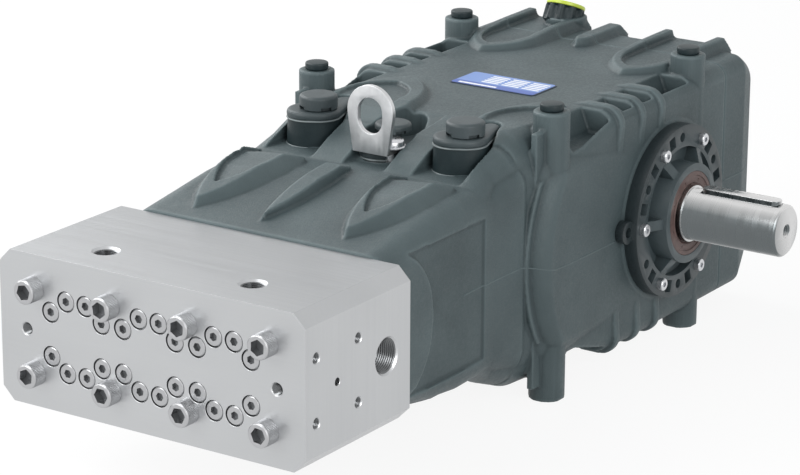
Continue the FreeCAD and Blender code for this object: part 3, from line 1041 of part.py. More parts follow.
# Oil seal, pressed in the cover's hub round the shaft
seal_place = ("fits.hub_face - sizes.seal_width",) + axis
seal_body = rod("seal_body", seal_place, "sizes.seal_radius - sizes.fit_gap", "sizes.seal_width", ALONG_X)
seal_lip = rod("seal_lip", seal_place, "sizes.journal_radius + sizes.shaft_clearance", "sizes.seal_width", ALONG_X)
part("oil_seal", less("seal_ring", seal_body, [seal_lip]))

# Drive shaft with its key
journal = rod("shaft_journal", ("sizes.shaft_root",) + axis, "sizes.journal_radius", "fits.shaft_step - sizes.shaft_root",
    ALONG_X)
stub = rod("shaft_stub", ("fits.shaft_step",) + axis, "sizes.shaft_radius", "sizes.shaft_length", ALONG_X)
bevel = edged("Chamfer", "shaft_stub_bevel", stub, "sizes.shaft_bevel",
    lambda edge: edge.BoundBox.XMin > value("fits.shaft_tip") - 0.01)
key_place = ("fits.shaft_tip - sizes.key_margin - sizes.key_length",
    "sizes.crank_setback - sizes.key_width / 2", "sizes.axis_height + sizes.shaft_radius - sizes.key_sunk")
key = block("key_block", key_place, "sizes.key_length", "sizes.key_width", "sizes.key_height")
key_seat = block("key_seat", key_place, "sizes.key_length", "sizes.key_width", "sizes.key_height")
centre_hole = rod("shaft_centre_hole", ("fits.shaft_tip - sizes.centre_hole_depth",) + axis,
    "sizes.centre_hole_radius", "sizes.centre_hole_depth", ALONG_X)
part("drive_shaft", less("shaft_cut", fused("shaft_whole", [journal, bevel]), [key_seat, centre_hole]))
part("shaft_key", edged("Fillet", "key_ends", key, "sizes.key_round",
    lambda edge: edge.BoundBox.ZLength > value("sizes.key_height / 2")))

# Lifting eye: a bent plate, held on the middle lid by one screw with a washer
eye = doc.addObject("PartDesign::Body", "eye_body")
outline = new_sketch(eye, "eye_outline", "XZ_Plane")
ring_height, foot_height = value("sizes.eye_centre"), value("fits.eye_foot_level")
ring_radius, foot_half = value("sizes.eye_ring_radius"), value("sizes.eye_half_width")
drop = ring_height - foot_height
touch = math.atan2(foot_half, drop) + math.acos(ring_radius / math.hypot(foot_half, drop)) - math.pi / 2
arc(outline, (0, ring_height), ring_radius, touch, math.pi - touch)
reach = ring_radius * math.cos(touch)
level = ring_height + ring_radius * math.sin(touch)
line(outline, (-reach, level), (-foot_half, foot_height))
line(outline, (-foot_half, foot_height), (foot_half, foot_height))
line(outline, (foot_half, foot_height), (reach, level))
tie(outline, "Tangent", 0, 2, 1, 1)
tie(outline, "Coincident", 1, 2, 2, 1)
tie(outline, "Coincident", 2, 2, 3, 1)
tie(outline, "Tangent", 3, 2, 0, 1)
tie(outline, "PointOnObject", 0, 3, -2)
tie(outline, "Symmetric", 2, 1, 2, 2, -2)
tie(outline, "DistanceY", -1, 1, 0, 3, to="sizes.eye_centre")
tie(outline, "DistanceY", -1, 1, 2, 1, to="fits.eye_foot_level")
tie(outline, "DistanceX", 2, 1, 2, 2, to="2 * sizes.eye_half_width")
tie(outline, "Radius", 0, to="sizes.eye_ring_radius")
put(padded(eye, outline, "sizes.eye_plate"), ("0", "sizes.eye_plate - fits.eye_setback", "0"))
eye_foot = block("eye_foot_plate", ("-sizes.eye_half_width", "-fits.eye_setback", "fits.eye_foot_level"),
    "2 * sizes.eye_half_width", "sizes.eye_foot", "sizes.eye_plate")
low_centre = "sizes.eye_centre - sizes.eye_hole_rise"
eye_hole = [
    rod("eye_hole_low", ("0", "-fits.eye_setback", low_centre), "sizes.eye_hole_radius", "sizes.eye_plate", ALONG_Y),
    rod("eye_hole_high", ("0", "-fits.eye_setback", "sizes.eye_centre"), "sizes.eye_hole_radius", "sizes.eye_plate",
        ALONG_Y),
    block("eye_hole_waist", ("-sizes.eye_hole_radius", "-fits.eye_setback", low_centre), "2 * sizes.eye_hole_radius",
        "sizes.eye_plate", "sizes.eye_hole_rise"),
]
plug_way = rod("eye_plug_way", ("0", "-fits.middle_cap_setback", "fits.eye_foot_level"),
    "sizes.middle_neck_radius + sizes.fit_gap", "sizes.eye_plate")
screw_way = rod("eye_screw_way", EYE_SCREW + ("fits.eye_foot_level",), "sizes.eye_screw_shank + sizes.fit_gap",
    "sizes.eye_plate")
part("lifting_eye", less("eye_cut", fused("eye_whole", [eye, eye_foot]), eye_hole + [plug_way, screw_way]))
washer_level = "fits.eye_foot_level + sizes.eye_plate"
washer = rod("washer_disc", EYE_SCREW + (washer_level,), "sizes.eye_washer_radius", "sizes.eye_washer_height")
washer_hole = rod("washer_hole", EYE_SCREW + (washer_level,), "sizes.eye_screw_shank + sizes.fit_gap",
    "sizes.eye_washer_height")
part("lifting_eye_washer", less("washer_ring", washer, [washer_hole]))
shank = rod("eye_shank", EYE_SCREW + ("fits.eye_foot_level - sizes.eye_screw_length",), "sizes.eye_screw_shank",
    "sizes.eye_screw_length + sizes.eye_plate + sizes.eye_washer_height")
cap = rod("eye_screw_head", EYE_SCREW + (washer_level + " + sizes.eye_washer_height",), "sizes.eye_screw_radius",
    "sizes.eye_screw_height")
part("lifting_eye_screw", fused("eye_screw_whole", [shank, cap]))

# Nameplate on the deck
part("nameplate", block("nameplate_sheet", ("sizes.plate_shift - sizes.plate_width / 2",
    "-sizes.plate_setback - sizes.plate_length / 2", "fits.deck_height"),
    "sizes.plate_width", "sizes.plate_length", "sizes.plate_thickness"))

doc.recompute()
faults = [item.Name for item in doc.Objects if "Invalid" in item.State or "Error" in item.State]
for item in parts:
    if item.Shape.isNull() or not item.Shape.isValid() or not item.Shape.Solids:
        faults.append(item.Label)
if faults:
    raise RuntimeError("these objects failed: " + ", ".join(faults))

os.makedirs("parts", exist_ok=True)
for item in parts:
    item.Shape.exportStep("parts/%s.step" % item.Label)
    print("%-24s %2d solids %10.0f mm3" % (item.Label, len(item.Shape.Solids), item.Shape.Volume))
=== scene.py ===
import math

import bmesh
import bpy
from mathutils import Matrix, Vector
from mathutils.bvhtree import BVHTree


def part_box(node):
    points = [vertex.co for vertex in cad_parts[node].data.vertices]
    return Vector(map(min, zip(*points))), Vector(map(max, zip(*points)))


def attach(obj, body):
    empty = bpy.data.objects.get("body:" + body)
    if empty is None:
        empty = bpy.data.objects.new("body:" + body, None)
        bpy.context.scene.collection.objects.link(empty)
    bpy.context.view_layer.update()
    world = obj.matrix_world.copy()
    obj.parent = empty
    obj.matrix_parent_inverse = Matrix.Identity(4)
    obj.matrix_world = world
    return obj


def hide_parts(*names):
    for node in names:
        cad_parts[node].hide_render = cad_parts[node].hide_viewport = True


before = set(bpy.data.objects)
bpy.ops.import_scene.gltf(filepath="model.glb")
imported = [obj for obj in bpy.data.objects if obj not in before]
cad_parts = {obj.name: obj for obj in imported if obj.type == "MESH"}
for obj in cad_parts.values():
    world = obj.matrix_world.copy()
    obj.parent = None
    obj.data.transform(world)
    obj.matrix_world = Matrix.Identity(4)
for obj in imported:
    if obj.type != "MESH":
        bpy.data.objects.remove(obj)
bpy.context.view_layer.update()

# The crankcase: one iron casting from the neck behind the fluid head to the rear joint, with bosses,
# posts that end in feet, and raised leaves. It is sand cast, so its edges are soft, and sprayed
# a dark grey-green satin.
CASTING_GRID = 0.0015
CASTING_BLUR = 3
CASTING_FACES = 190000


def copied(node, name, flat=False):
    """A copy of a CAD node with its corners merged; flat also joins the triangles of each flat face."""
    shape = bmesh.new()
    shape.from_mesh(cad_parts[node].data)
    bmesh.ops.remove_doubles(shape, verts=shape.verts, dist=2e-5)
    if flat:
        bmesh.ops.dissolve_limit(shape, angle_limit=math.radians(0.6), verts=shape.verts, edges=shape.edges)
    return placed(shape, name)


def placed(shape, name):
    """Turns a bmesh into an object at the origin."""
    mesh = bpy.data.meshes.new(name)
    shape.to_mesh(mesh)
    shape.free()
    piece = bpy.data.objects.new(name, mesh)
    bpy.context.scene.collection.objects.link(piece)
    return piece


def settled(piece):
    """The piece with its modifiers made plain mesh."""
    graph = bpy.context.evaluated_depsgraph_get()
    mesh = bpy.data.meshes.new_from_object(piece.evaluated_get(graph))
    mesh.name = piece.name
    piece.modifiers.clear()
    piece.data = mesh
    return piece


def softened(piece, grid, blur, faces):
    """Gives a sharp copy the soft edges of a casting: a close grid over it, smoothed, then thinned."""
    remesh = piece.modifiers.new("grid", "REMESH")
    remesh.mode = "VOXEL"
    remesh.voxel_size = grid
    smooth = piece.modifiers.new("blur", "SMOOTH")
    smooth.factor = 0.5
    smooth.iterations = blur
    settled(piece)
    triangles = sum(len(face.vertices) - 2 for face in piece.data.polygons)
    thin = piece.modifiers.new("thin", "DECIMATE")
    thin.ratio = min(1.0, faces / triangles)
    settled(piece)
    piece.data.shade_smooth()
    return piece


def smoothed(piece, angle=32):
    """Shades a piece smooth, with its edges over the angle left sharp."""
    piece.data.shade_smooth()
    piece.data.set_sharp_from_angle(angle=math.radians(angle))
    return piece


def new_finish(name, colour, metallic, roughness):
    """A material that is one plain colour until the calls below give it its pattern."""
    material = bpy.data.materials.new(name)
    material.use_nodes = True
    shader = material.node_tree.nodes["Principled BSDF"]
    shader.inputs["Base Color"].default_value = (*colour, 1)
    shader.inputs["Metallic"].default_value = metallic
    shader.inputs["Roughness"].default_value = roughness
    return material


def added(owner, kind, operation=None):
    """A new shader node of the kind, set to the operation where one is named."""
    node = owner.node_tree.nodes.new(kind)
    if operation:
        node.operation = operation
    return node


def wired(owner, *pairs):
    """Joins sockets, given as pairs of a source and where it goes."""
    for source, target in pairs:
        owner.node_tree.links.new(source, target)


def own(material, label):
    """A socket of the material's shader."""
    return material.node_tree.nodes["Principled BSDF"].inputs[label]


def parts_of(material, source):
    """The X, Y and Z of a vector, by name."""
    split = added(material, "ShaderNodeSeparateXYZ")
    wired(material, (source, split.inputs["Vector"]))
    return split.outputs


def pattern(material, scale, stretch=(1, 1, 1), detail=2.0):
    """Noise on object coordinates, drawn out along the axes with the smaller numbers."""
    mapping = added(material, "ShaderNodeMapping")
    mapping.inputs["Scale"].default_value = stretch
    noise = added(material, "ShaderNodeTexNoise")
    noise.inputs["Scale"].default_value = scale
    noise.inputs["Detail"].default_value = detail
    wired(material, (added(material, "ShaderNodeTexCoord").outputs["Object"], mapping.inputs["Vector"]),
        (mapping.outputs["Vector"], noise.inputs["Vector"]))
    return noise.outputs["Fac"]


def ranged(material, source, low, high, start=0.3, end=0.7):
    """The source's middle part drawn out to run from low to high."""
    span = added(material, "ShaderNodeMapRange")
    span.inputs["From Min"].default_value = start
    span.inputs["From Max"].default_value = end
    span.inputs["To Min"].default_value = low
    span.inputs["To Max"].default_value = high
    wired(material, (source, span.inputs["Value"]))
    return span.outputs["Result"]


def blended(material, share, first, second):
    """Two values mixed, with a fixed share of the second or the share that a socket gives."""
    mix = added(material, "ShaderNodeMix")
    if isinstance(share, float):
        mix.inputs["Factor"].default_value = share
    else:
        wired(material, (share, mix.inputs["Factor"]))
    wired(material, (first, mix.inputs["A"]), (second, mix.inputs["B"]))
    return mix.outputs["Result"]


def tinted(material, share, first, second):
    """Colours the finish from first to second by the share."""
    mix = added(material, "ShaderNodeMix")
    mix.data_type = "RGBA"
    mix.inputs["A"].default_value = (*first, 1)
    mix.inputs["B"].default_value = (*second, 1)
    wired(material, (share, mix.inputs["Factor"]), (mix.outputs["Result"], own(material, "Base Color")))


def clouded(material, scale, first, second, detail=2.0):
    """Colours the finish in soft clouds between two near shades."""
    tinted(material, ranged(material, pattern(material, scale, detail=detail), 0, 1), first, second)


def roughened(material, share):
    """Varies the finish's roughness by a socket."""
    wired(material, (share, own(material, "Roughness")))


def bumped(material, source, height, before=None):
    """Relief of the given height in metres; before is a bump that this one lies on."""
    bump = added(material, "ShaderNodeBump")
    bump.inputs["Strength"].default_value = 1.0
    bump.inputs["Distance"].default_value = height
    wired(material, (source, bump.inputs["Height"]), (bump.outputs["Normal"], own(material, "Normal")))
    if before:
        wired(material, (before.outputs["Normal"], bump.inputs["Normal"]))
    return bump


def covered(piece, material, body, slot, *replaced):
    """Gives a finished piece its material, its body and the nodes that it stands for; the slot is not used.
    """
    piece.data.materials.clear()
    piece.data.materials.append(material)
    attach(piece, body)
    if replaced:
        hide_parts(*replaced)


cast_paint = new_finish("cast_paint", (0.062, 0.084, 0.089), 0.0, 0.5)
own(cast_paint, "Specular IOR Level").default_value = 0.3
paint_clouds = ranged(cast_paint, pattern(cast_paint, 14, detail=3), 0, 1)
# Pointiness paints convex edges lighter and creases darker: a painted highlight on the edges and painted
# shade in the creases, mixed with soft clouds of tone.
skin = added(cast_paint, "ShaderNodeNewGeometry")
edge_highlight_and_crease_shade = ranged(cast_paint, skin.outputs["Pointiness"], 0, 1, 0.485, 0.52)
paint_clouds_and_painted_light = blended(cast_paint, 0.7, paint_clouds, edge_highlight_and_crease_shade)
tinted(cast_paint, paint_clouds_and_painted_light, (0.029, 0.043, 0.047), (0.096, 0.127, 0.133))
roughened(cast_paint, ranged(cast_paint, pattern(cast_paint, 420, detail=4), 0.42, 0.6))
orange_peel = bumped(cast_paint, pattern(cast_paint, 90, detail=1), 0.0004)
bumped(cast_paint, pattern(cast_paint, 750, detail=3), 0.00035, orange_peel)

crankcase = softened(copied("casing", "crankcase"), CASTING_GRID, CASTING_BLUR, CASTING_FACES)
covered(crankcase, cast_paint, "pump", "cast_paint", "casing")

# The rear cover: a second casting, bolted on behind the crank, with the leaves carried on over it.
# It has the crankcase's paint, and the joint between the two stays open as a fine line.
rear_cover = copied("rear_cover", "rear_cover_casting")
softened(rear_cover, CASTING_GRID, CASTING_BLUR, CASTING_FACES // 2)
covered(rear_cover, cast_paint, "pump", "cast_paint", "rear_cover")

# The parting lines: where the halves of the sand mould met, a thin fin was ground down to a low ridge
# along each flank and round the rear cover's sides.
LINE_RADIUS = 0.0011
LINE_SUNK = 0.45 * LINE_RADIUS
LINE_STEP = 0.004
LINE_SIDES = 8
OUTSIDE = 0.3
FLANK_LINE = ((-0.300, 0.1530), (-0.274, 0.1536), (-0.200, 0.1540), (-0.162, 0.1455), (-0.134, 0.1440),
    (-0.040, 0.1420))
COVER_LINE = ((0.193, 0.150), (0.262, 0.150))


def walled(shape, rows):
    """Walls between rings of corners, with a cap on the first and on the last ring."""
    for low, high in zip(rows, rows[1:]):
        for step, corner in enumerate(low):
            after = (step + 1) % len(low)
            shape.faces.new((corner, low[after], high[after], high[step]))
    shape.faces.new(rows[0])
    shape.faces.new(rows[-1])


def surface_line(name, carrier, marks, side):
    """A low ridge that follows the carrier's flank through (y, z) marks."""
    tree = BVHTree.FromObject(carrier, bpy.context.evaluated_depsgraph_get())
    spots = []
    for (y, z), (next_y, next_z) in zip(marks, marks[1:]):
        steps = max(1, int((next_y - y) / LINE_STEP))
        for step in range(steps + 1):
            share = step / steps
            start = Vector((side * OUTSIDE, y + (next_y - y) * share, z + (next_z - z) * share))
            hit = tree.ray_cast(start, Vector((-side, 0, 0)))[0]
            if hit:
                spots.append(hit - Vector((side * LINE_SUNK, 0, 0)))
    shape = bmesh.new()
    turns = [2 * math.pi * step / LINE_SIDES for step in range(LINE_SIDES)]
    walled(shape, [[shape.verts.new(spot + LINE_RADIUS * Vector((math.cos(turn), 0, math.sin(turn))))
        for turn in turns] for spot in spots])
    bmesh.ops.remove_doubles(shape, verts=shape.verts, dist=1e-5)
    bmesh.ops.recalc_face_normals(shape, faces=shape.faces)
    line = placed(shape, name)
    line.data.shade_smooth()
    return line


for side, side_name in ((1, "right"), (-1, "left")):
    flank_line = surface_line("flank_line_" + side_name, crankcase, FLANK_LINE, side)
    covered(flank_line, cast_paint, "pump", "cast_paint")
    cover_line = surface_line("cover_line_" + side_name, rear_cover, COVER_LINE, side)
    covered(cover_line, cast_paint, "pump", "cast_paint")

# The bearing covers: cast aluminium, painted black and machined where they seat. The one on the shaft's
# side is open for the shaft.
COVER_BEVEL = 0.0009
CRANK_AXIS = Vector((0, 0.070, 0.150))


def bevelled(node, name, width, segments=2, angle=30):
    """A copy of a machined or moulded node with its sharp edges broken."""
    piece = copied(node, name, flat=True)
    bevel = piece.modifiers.new("edges", "BEVEL")
    bevel.width = width
    bevel.segments = segments
    bevel.limit_method = "ANGLE"
    bevel.angle_limit = math.radians(angle)
    bevel.use_clamp_overlap = True
    settled(piece)
    return smoothed(piece, 35)


def turned(name, profile, steps=64, ridge_depth=0.0, ridge_rows=()):
    """A closed piece turned about +Z from (radius, height) pairs, with upright ridges on the rows named."""
    shape = bmesh.new()
    rows = []
    for number, (radius, height) in enumerate(profile):
        if radius < 1e-7:
            rows.append([shape.verts.new((0, 0, height))])
            continue
        row = []
        for step in range(steps):
            angle = 2 * math.pi * step / steps
            cut = ridge_depth * (step % 2) if number in ridge_rows else 0.0
            reach = radius - cut
            row.append(shape.verts.new((reach * math.cos(angle), reach * math.sin(angle), height)))
        rows.append(row)
    pairs = list(zip(rows, rows[1:]))
    if len(rows[0]) > 1 and len(rows[-1]) > 1:
        pairs.append((rows[-1], rows[0]))
    for low, high in pairs:
        for step in range(steps):
            after = (step + 1) % steps
            corners = [low[step % len(low)], low[after % len(low)], high[after % len(high)],
                high[step % len(high)]]
            shape.faces.new(list(dict.fromkeys(corners)))
    bmesh.ops.recalc_face_normals(shape, faces=shape.faces)
    return smoothed(placed(shape, name))


def carved(piece, *cutters):
    """Cuts the cutters out of the piece and throws them away."""
    for cutter in cutters:
        cut = piece.modifiers.new("cut", "BOOLEAN")
        cut.operation = "DIFFERENCE"
        cut.solver = "EXACT"
        cut.object = cutter
    settled(piece)
    for cutter in cutters:
        bpy.data.objects.remove(cutter)


def socket_screw(name, radius, height, key_radius, key_depth, knurl=0, edge=0.0008):
    """A cap screw's head on the plane Z = 0, with a hexagon socket in its top."""
    knurl_top = height - 2.2 * edge
    shoulder = radius - edge * 0.3
    profile = [(0, 0), (radius - edge / 2, 0), (radius, edge / 2), (radius, knurl_top),
        (shoulder, knurl_top), (shoulder, height - edge), (radius - edge * 1.3, height),
        (key_radius * 1.25, height), (0, height)]
    if knurl:
        head = turned(name, profile, 2 * knurl, radius * 0.035, (2, 3))
    else:
        head = turned(name, profile, 48)
    key = turned(name + "_key", [(0, height - key_depth), (key_radius, height - key_depth),
        (key_radius, height + edge), (0, height + edge)], 6)
    lead = turned(name + "_lead", [(0, height - key_radius * 0.25), (key_radius * 1.12, height + 0.0001),
        (0, height + 0.0001)], 48)
    carved(head, key, lead)
    return smoothed(head)


def repeated(name, template, spots, facing, material, seed=1):
    """One copy of the template at each spot, its top turned to the facing and spun by chance."""
    tree = bpy.data.node_groups.new(name, "GeometryNodeTree")
    wires = tree.interface
    wires.new_socket("Spots", in_out="INPUT", socket_type="NodeSocketGeometry")
    template_in = wires.new_socket("Template", in_out="INPUT", socket_type="NodeSocketObject")
    facing_in = wires.new_socket("Facing", in_out="INPUT", socket_type="NodeSocketVector")
    finish_in = wires.new_socket("Finish", in_out="INPUT", socket_type="NodeSocketMaterial")
    wires.new_socket("Pieces", in_out="OUTPUT", socket_type="NodeSocketGeometry")
    given = tree.nodes.new("NodeGroupInput")
    made = tree.nodes.new("NodeGroupOutput")
    source = tree.nodes.new("GeometryNodeObjectInfo")
    aim = tree.nodes.new("FunctionNodeAlignRotationToVector")
    aim.axis = "Z"
    chance = tree.nodes.new("FunctionNodeRandomValue")
    chance.data_type = "FLOAT"
    chance.inputs["Max"].default_value = 2 * math.pi
    chance.inputs["Seed"].default_value = seed
    spin = tree.nodes.new("ShaderNodeCombineXYZ")
    spin_turn = tree.nodes.new("FunctionNodeEulerToRotation")
    both = tree.nodes.new("FunctionNodeRotateRotation")
    both.rotation_space = "LOCAL"
    copies = tree.nodes.new("GeometryNodeInstanceOnPoints")
    real = tree.nodes.new("GeometryNodeRealizeInstances")
    paint = tree.nodes.new("GeometryNodeSetMaterial")
    join = tree.links.new
    join(given.outputs["Spots"], copies.inputs["Points"])
    join(given.outputs["Template"], source.inputs["Object"])
    join(source.outputs["Geometry"], copies.inputs["Instance"])
    join(given.outputs["Facing"], aim.inputs["Vector"])
    join(chance.outputs["Value"], spin.inputs["Z"])
    join(spin.outputs["Vector"], spin_turn.inputs["Euler"])
    join(aim.outputs["Rotation"], both.inputs["Rotation"])
    join(spin_turn.outputs["Rotation"], both.inputs["Rotate By"])
    join(both.outputs["Rotation"], copies.inputs["Rotation"])
    join(copies.outputs["Instances"], real.inputs["Geometry"])
    join(real.outputs["Geometry"], paint.inputs["Geometry"])
    join(given.outputs["Finish"], paint.inputs["Material"])
    join(paint.outputs["Geometry"], made.inputs["Pieces"])
    shape = bmesh.new()
    for spot in spots:
        shape.verts.new(spot)
    piece = placed(shape, name)
    copier = piece.modifiers.new("copies", "NODES")
    copier.node_group = tree
    copier[template_in.identifier] = template
    copier[facing_in.identifier] = facing
    copier[finish_in.identifier] = material
    settled(piece)
    bpy.data.objects.remove(template)
    return smoothed(piece)


def polished(name, colour, roughness, scratch=0.08):
    """Bare metal with fine scratches that only show in its gloss."""
    metal = new_finish(name, colour, 1.0, roughness)
    scratches = pattern(metal, 260, (1, 1, 0.2), 3)
    roughened(metal, ranged(metal, scratches, roughness - scratch, roughness + scratch))
    bumped(metal, pattern(metal, 900, detail=2), 0.00004)
    return metal


black_paint = new_finish("black_paint", (0.026, 0.038, 0.042), 0.0, 0.4)
own(black_paint, "Specular IOR Level").default_value = 0.4
# Painted light and shade: the covers are coloured lighter towards the hub and darker over the outer ring and
# rim.
off_axis = added(black_paint, "ShaderNodeVectorMath", "MULTIPLY_ADD")
off_axis.inputs[1].default_value = (0, 1, 1)
off_axis.inputs[2].default_value = -CRANK_AXIS
off_axis_length = added(black_paint, "ShaderNodeVectorMath", "LENGTH")
wired(black_paint, (added(black_paint, "ShaderNodeTexCoord").outputs["Object"], off_axis.inputs[0]),
    (off_axis.outputs["Vector"], off_axis_length.inputs[0]))
lit_hub_shaded_rim = ranged(black_paint, off_axis_length.outputs["Value"], 1, 0, 0.058, 0.098)
tinted(black_paint, lit_hub_shaded_rim, (0.018, 0.026, 0.029), (0.052, 0.070, 0.076))
bumped(black_paint, pattern(black_paint, 600, detail=3), 0.00015)
zinc = polished("zinc", (0.62, 0.63, 0.65), 0.3)

shaft_cover = bevelled("bearing_cover", "shaft_cover", COVER_BEVEL)
covered(shaft_cover, black_paint, "pump", "cast_paint", "bearing_cover")
closed_cover = bevelled("blind_cover", "closed_cover", COVER_BEVEL)
covered(closed_cover, black_paint, "pump", "cast_paint", "blind_cover")

# The webs across each bearing cover's groove: cast with it, they slope from the hub down to the ring.
# They are broad and flat, and there is one towards each screw.
WEB_HALF_WIDTH = 0.0056
WEB_INNER = 0.0515
WEB_OUTER = 0.0698
HUB_HEIGHT = 0.013
GROOVE_FLOOR = 0.0105
for cover_node, outward in (("bearing_cover", 1), ("blind_cover", -1)):
    low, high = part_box(cover_node)
    hub_face = high.x if outward > 0 else -low.x
    ring_face = hub_face - HUB_HEIGHT
    section = ((WEB_INNER, ring_face - GROOVE_FLOOR), (WEB_OUTER, ring_face - GROOVE_FLOOR),
        (WEB_OUTER, ring_face + 0.0004), (0.0640, ring_face + 0.0020), (WEB_INNER, hub_face - 0.0030))
    shape = bmesh.new()
    for turn in range(0, 360, 60):
        along = Vector((0, math.cos(math.radians(turn)), math.sin(math.radians(turn))))
        across = Vector((0, -along.z, along.y))
        rows = []
        for half in (-WEB_HALF_WIDTH, WEB_HALF_WIDTH):
            edge = CRANK_AXIS + half * across
            rows.append([shape.verts.new(edge + Vector((outward * level, 0, 0)) + reach * along)
                for reach, level in section])
        walled(shape, rows)
    bmesh.ops.bevel(shape, geom=shape.edges[:], offset=0.0009, segments=2, affect="EDGES", profile=0.5)
    bmesh.ops.recalc_face_normals(shape, faces=shape.faces)
    webs = smoothed(placed(shape, cover_node + "_webs"), 40)
    covered(webs, black_paint, "pump", "cast_paint")

# The cover screws: six zinc-plated cap screws in a ring on each cover, their heads standing on it. They
# go through the cover into the crankcase's cheek.
COVER_SCREW_RING = 0.080
COVER_FACE = 0.176
for side, side_name in ((1, "right"), (-1, "left")):
    ring = [CRANK_AXIS + Vector((side * COVER_FACE, COVER_SCREW_RING * math.cos(math.radians(angle)),
        COVER_SCREW_RING * math.sin(math.radians(angle)))) for angle in range(0, 360, 60)]
    cover_screw = socket_screw("cover_screw", 0.0065, 0.0062, 0.0030, 0.0030, edge=0.0006)
    cover_screws = repeated("cover_screws_" + side_name, cover_screw, ring, (side, 0, 0), zinc, seed=3)
    covered(cover_screws, zinc, "pump", "bright_steel")

# The oil seal: brown rubber on a steel ring, pressed into the cover's hub, with small dimples that
# the mould's pins leave.
SEAL_LIP = 0.0302
DIMPLES = 8
DIMPLE_RING = 0.0365
OUT_ALONG_X = Matrix.Rotation(math.pi / 2, 4, "Y")
seal_low, seal_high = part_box("oil_seal")
seal_outer = (seal_high.y - seal_low.y) / 2
depth = seal_high.x - seal_low.x
seal_rubber = new_finish("seal_rubber", (0.075, 0.04, 0.034), 0.0, 0.45)
clouded(seal_rubber, 200, (0.06, 0.032, 0.028), (0.10, 0.056, 0.048))
bumped(seal_rubber, pattern(seal_rubber, 800), 0.0001)
seal = turned("shaft_seal", [(SEAL_LIP, 0), (seal_outer, 0), (seal_outer, depth - 0.0006),
    (seal_outer - 0.0006, depth), (0.0405, depth), (0.0398, depth - 0.0012), (0.0385, depth - 0.0014),
    (0.0345, depth - 0.0014), (0.0335, depth - 0.0006), (0.0325, depth - 0.0012), (0.0310, depth - 0.0034),
    (SEAL_LIP, depth - 0.0036)], 96)
dimples = []
for number in range(DIMPLES):
    angle = math.radians(360 / DIMPLES * number + 20)
    dimple = turned("dimple", [(0, depth - 0.0030), (0.0010, depth - 0.0026), (0.0011, depth + 0.001),
        (0, depth + 0.001)], 16)
    spot = (DIMPLE_RING * math.cos(angle), DIMPLE_RING * math.sin(angle), 0)
    dimple.data.transform(Matrix.Translation(spot))
    dimples.append(dimple)
carved(seal, *dimples)
seal.data.transform(Matrix.Translation((seal_low.x, CRANK_AXIS.y, CRANK_AXIS.z)) @ OUT_ALONG_X)
covered(seal, seal_rubber, "pump", "seal_rubber", "oil_seal")

# The drive shaft: ground steel with a bevelled end, a keyway and a threaded centre hole. Its key is
# a round-ended bar, driven into the keyway. Its colour is painted light and shade, pale above and
# towards its outline, dark below.
SHAFT_THREAD_RADIUS = 0.007
shaft_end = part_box("drive_shaft")[1].x
ground_steel = new_finish("ground_steel", (0.56, 0.56, 0.55), 1.0, 0.3)
lathe_marks = pattern(ground_steel, 260, (1, 0.03, 0.03), 3)
roughened(ground_steel, ranged(ground_steel, lathe_marks, 0.18, 0.36))
bumped(ground_steel, pattern(ground_steel, 700, (1, 0.02, 0.02), 2), 0.00003)
turned_away = added(ground_steel, "ShaderNodeLayerWeight")
turned_away.inputs["Blend"].default_value = 0.5
upwards = parts_of(ground_steel, added(ground_steel, "ShaderNodeNewGeometry").outputs["Normal"])["Z"]
band = added(ground_steel, "ShaderNodeMath", "MULTIPLY_ADD")
band.inputs[1].default_value = 0.5
wired(ground_steel, (upwards, band.inputs[0]), (turned_away.outputs["Facing"], band.inputs[2]))
painted_shaft_light = ranged(ground_steel, band.outputs["Value"], 0, 1, 0.20, 0.62)
tinted(ground_steel, painted_shaft_light, (0.14, 0.155, 0.16), (0.66, 0.66, 0.66))
shaft = bevelled("drive_shaft", "turned_shaft", 0.0004, 1)


def thread_sleeve(name, radius, depth, pitch, steps=48):
    """The thread in a hole, as a sleeve whose inside is cut in rings, from Z = 0 down."""
    profile = [(radius + 0.0002, 0)]
    for turn in range(int(depth / pitch)):
        level = -turn * pitch
        profile += [(radius - 0.0001, level - 0.08 * pitch), (radius - 0.55 * pitch, level - 0.5 * pitch)]
    profile += [(radius - 0.0001, -depth), (radius + 0.0002, -depth)]
    return turned(name, profile, steps)


def set_in(piece, spot, facing):
    """Moves a piece that was made on the plane Z = 0 to its spot, its top turned to the facing."""
    turn = Vector((0, 0, 1)).rotation_difference(Vector(facing)).to_matrix().to_4x4()
    piece.data.transform(Matrix.Translation(spot) @ turn)
    return piece


def joined(name, *pieces):
    """Several pieces as the loose parts of one mesh."""
    shape = bmesh.new()
    for piece in pieces:
        shape.from_mesh(piece.data)
        bpy.data.objects.remove(piece)
    return smoothed(placed(shape, name))


covered(shaft, ground_steel, "shaft", "shaft_steel", "drive_shaft")
shaft_thread = thread_sleeve("shaft_thread", SHAFT_THREAD_RADIUS, 0.030, 0.002)
set_in(shaft_thread, (shaft_end - 0.001, CRANK_AXIS.y, CRANK_AXIS.z), (1, 0, 0))
covered(shaft_thread, ground_steel, "shaft", "shaft_steel")
key = bevelled("shaft_key", "driven_key", 0.0006, 2)
covered(key, ground_steel, "shaft", "shaft_steel", "shaft_key")

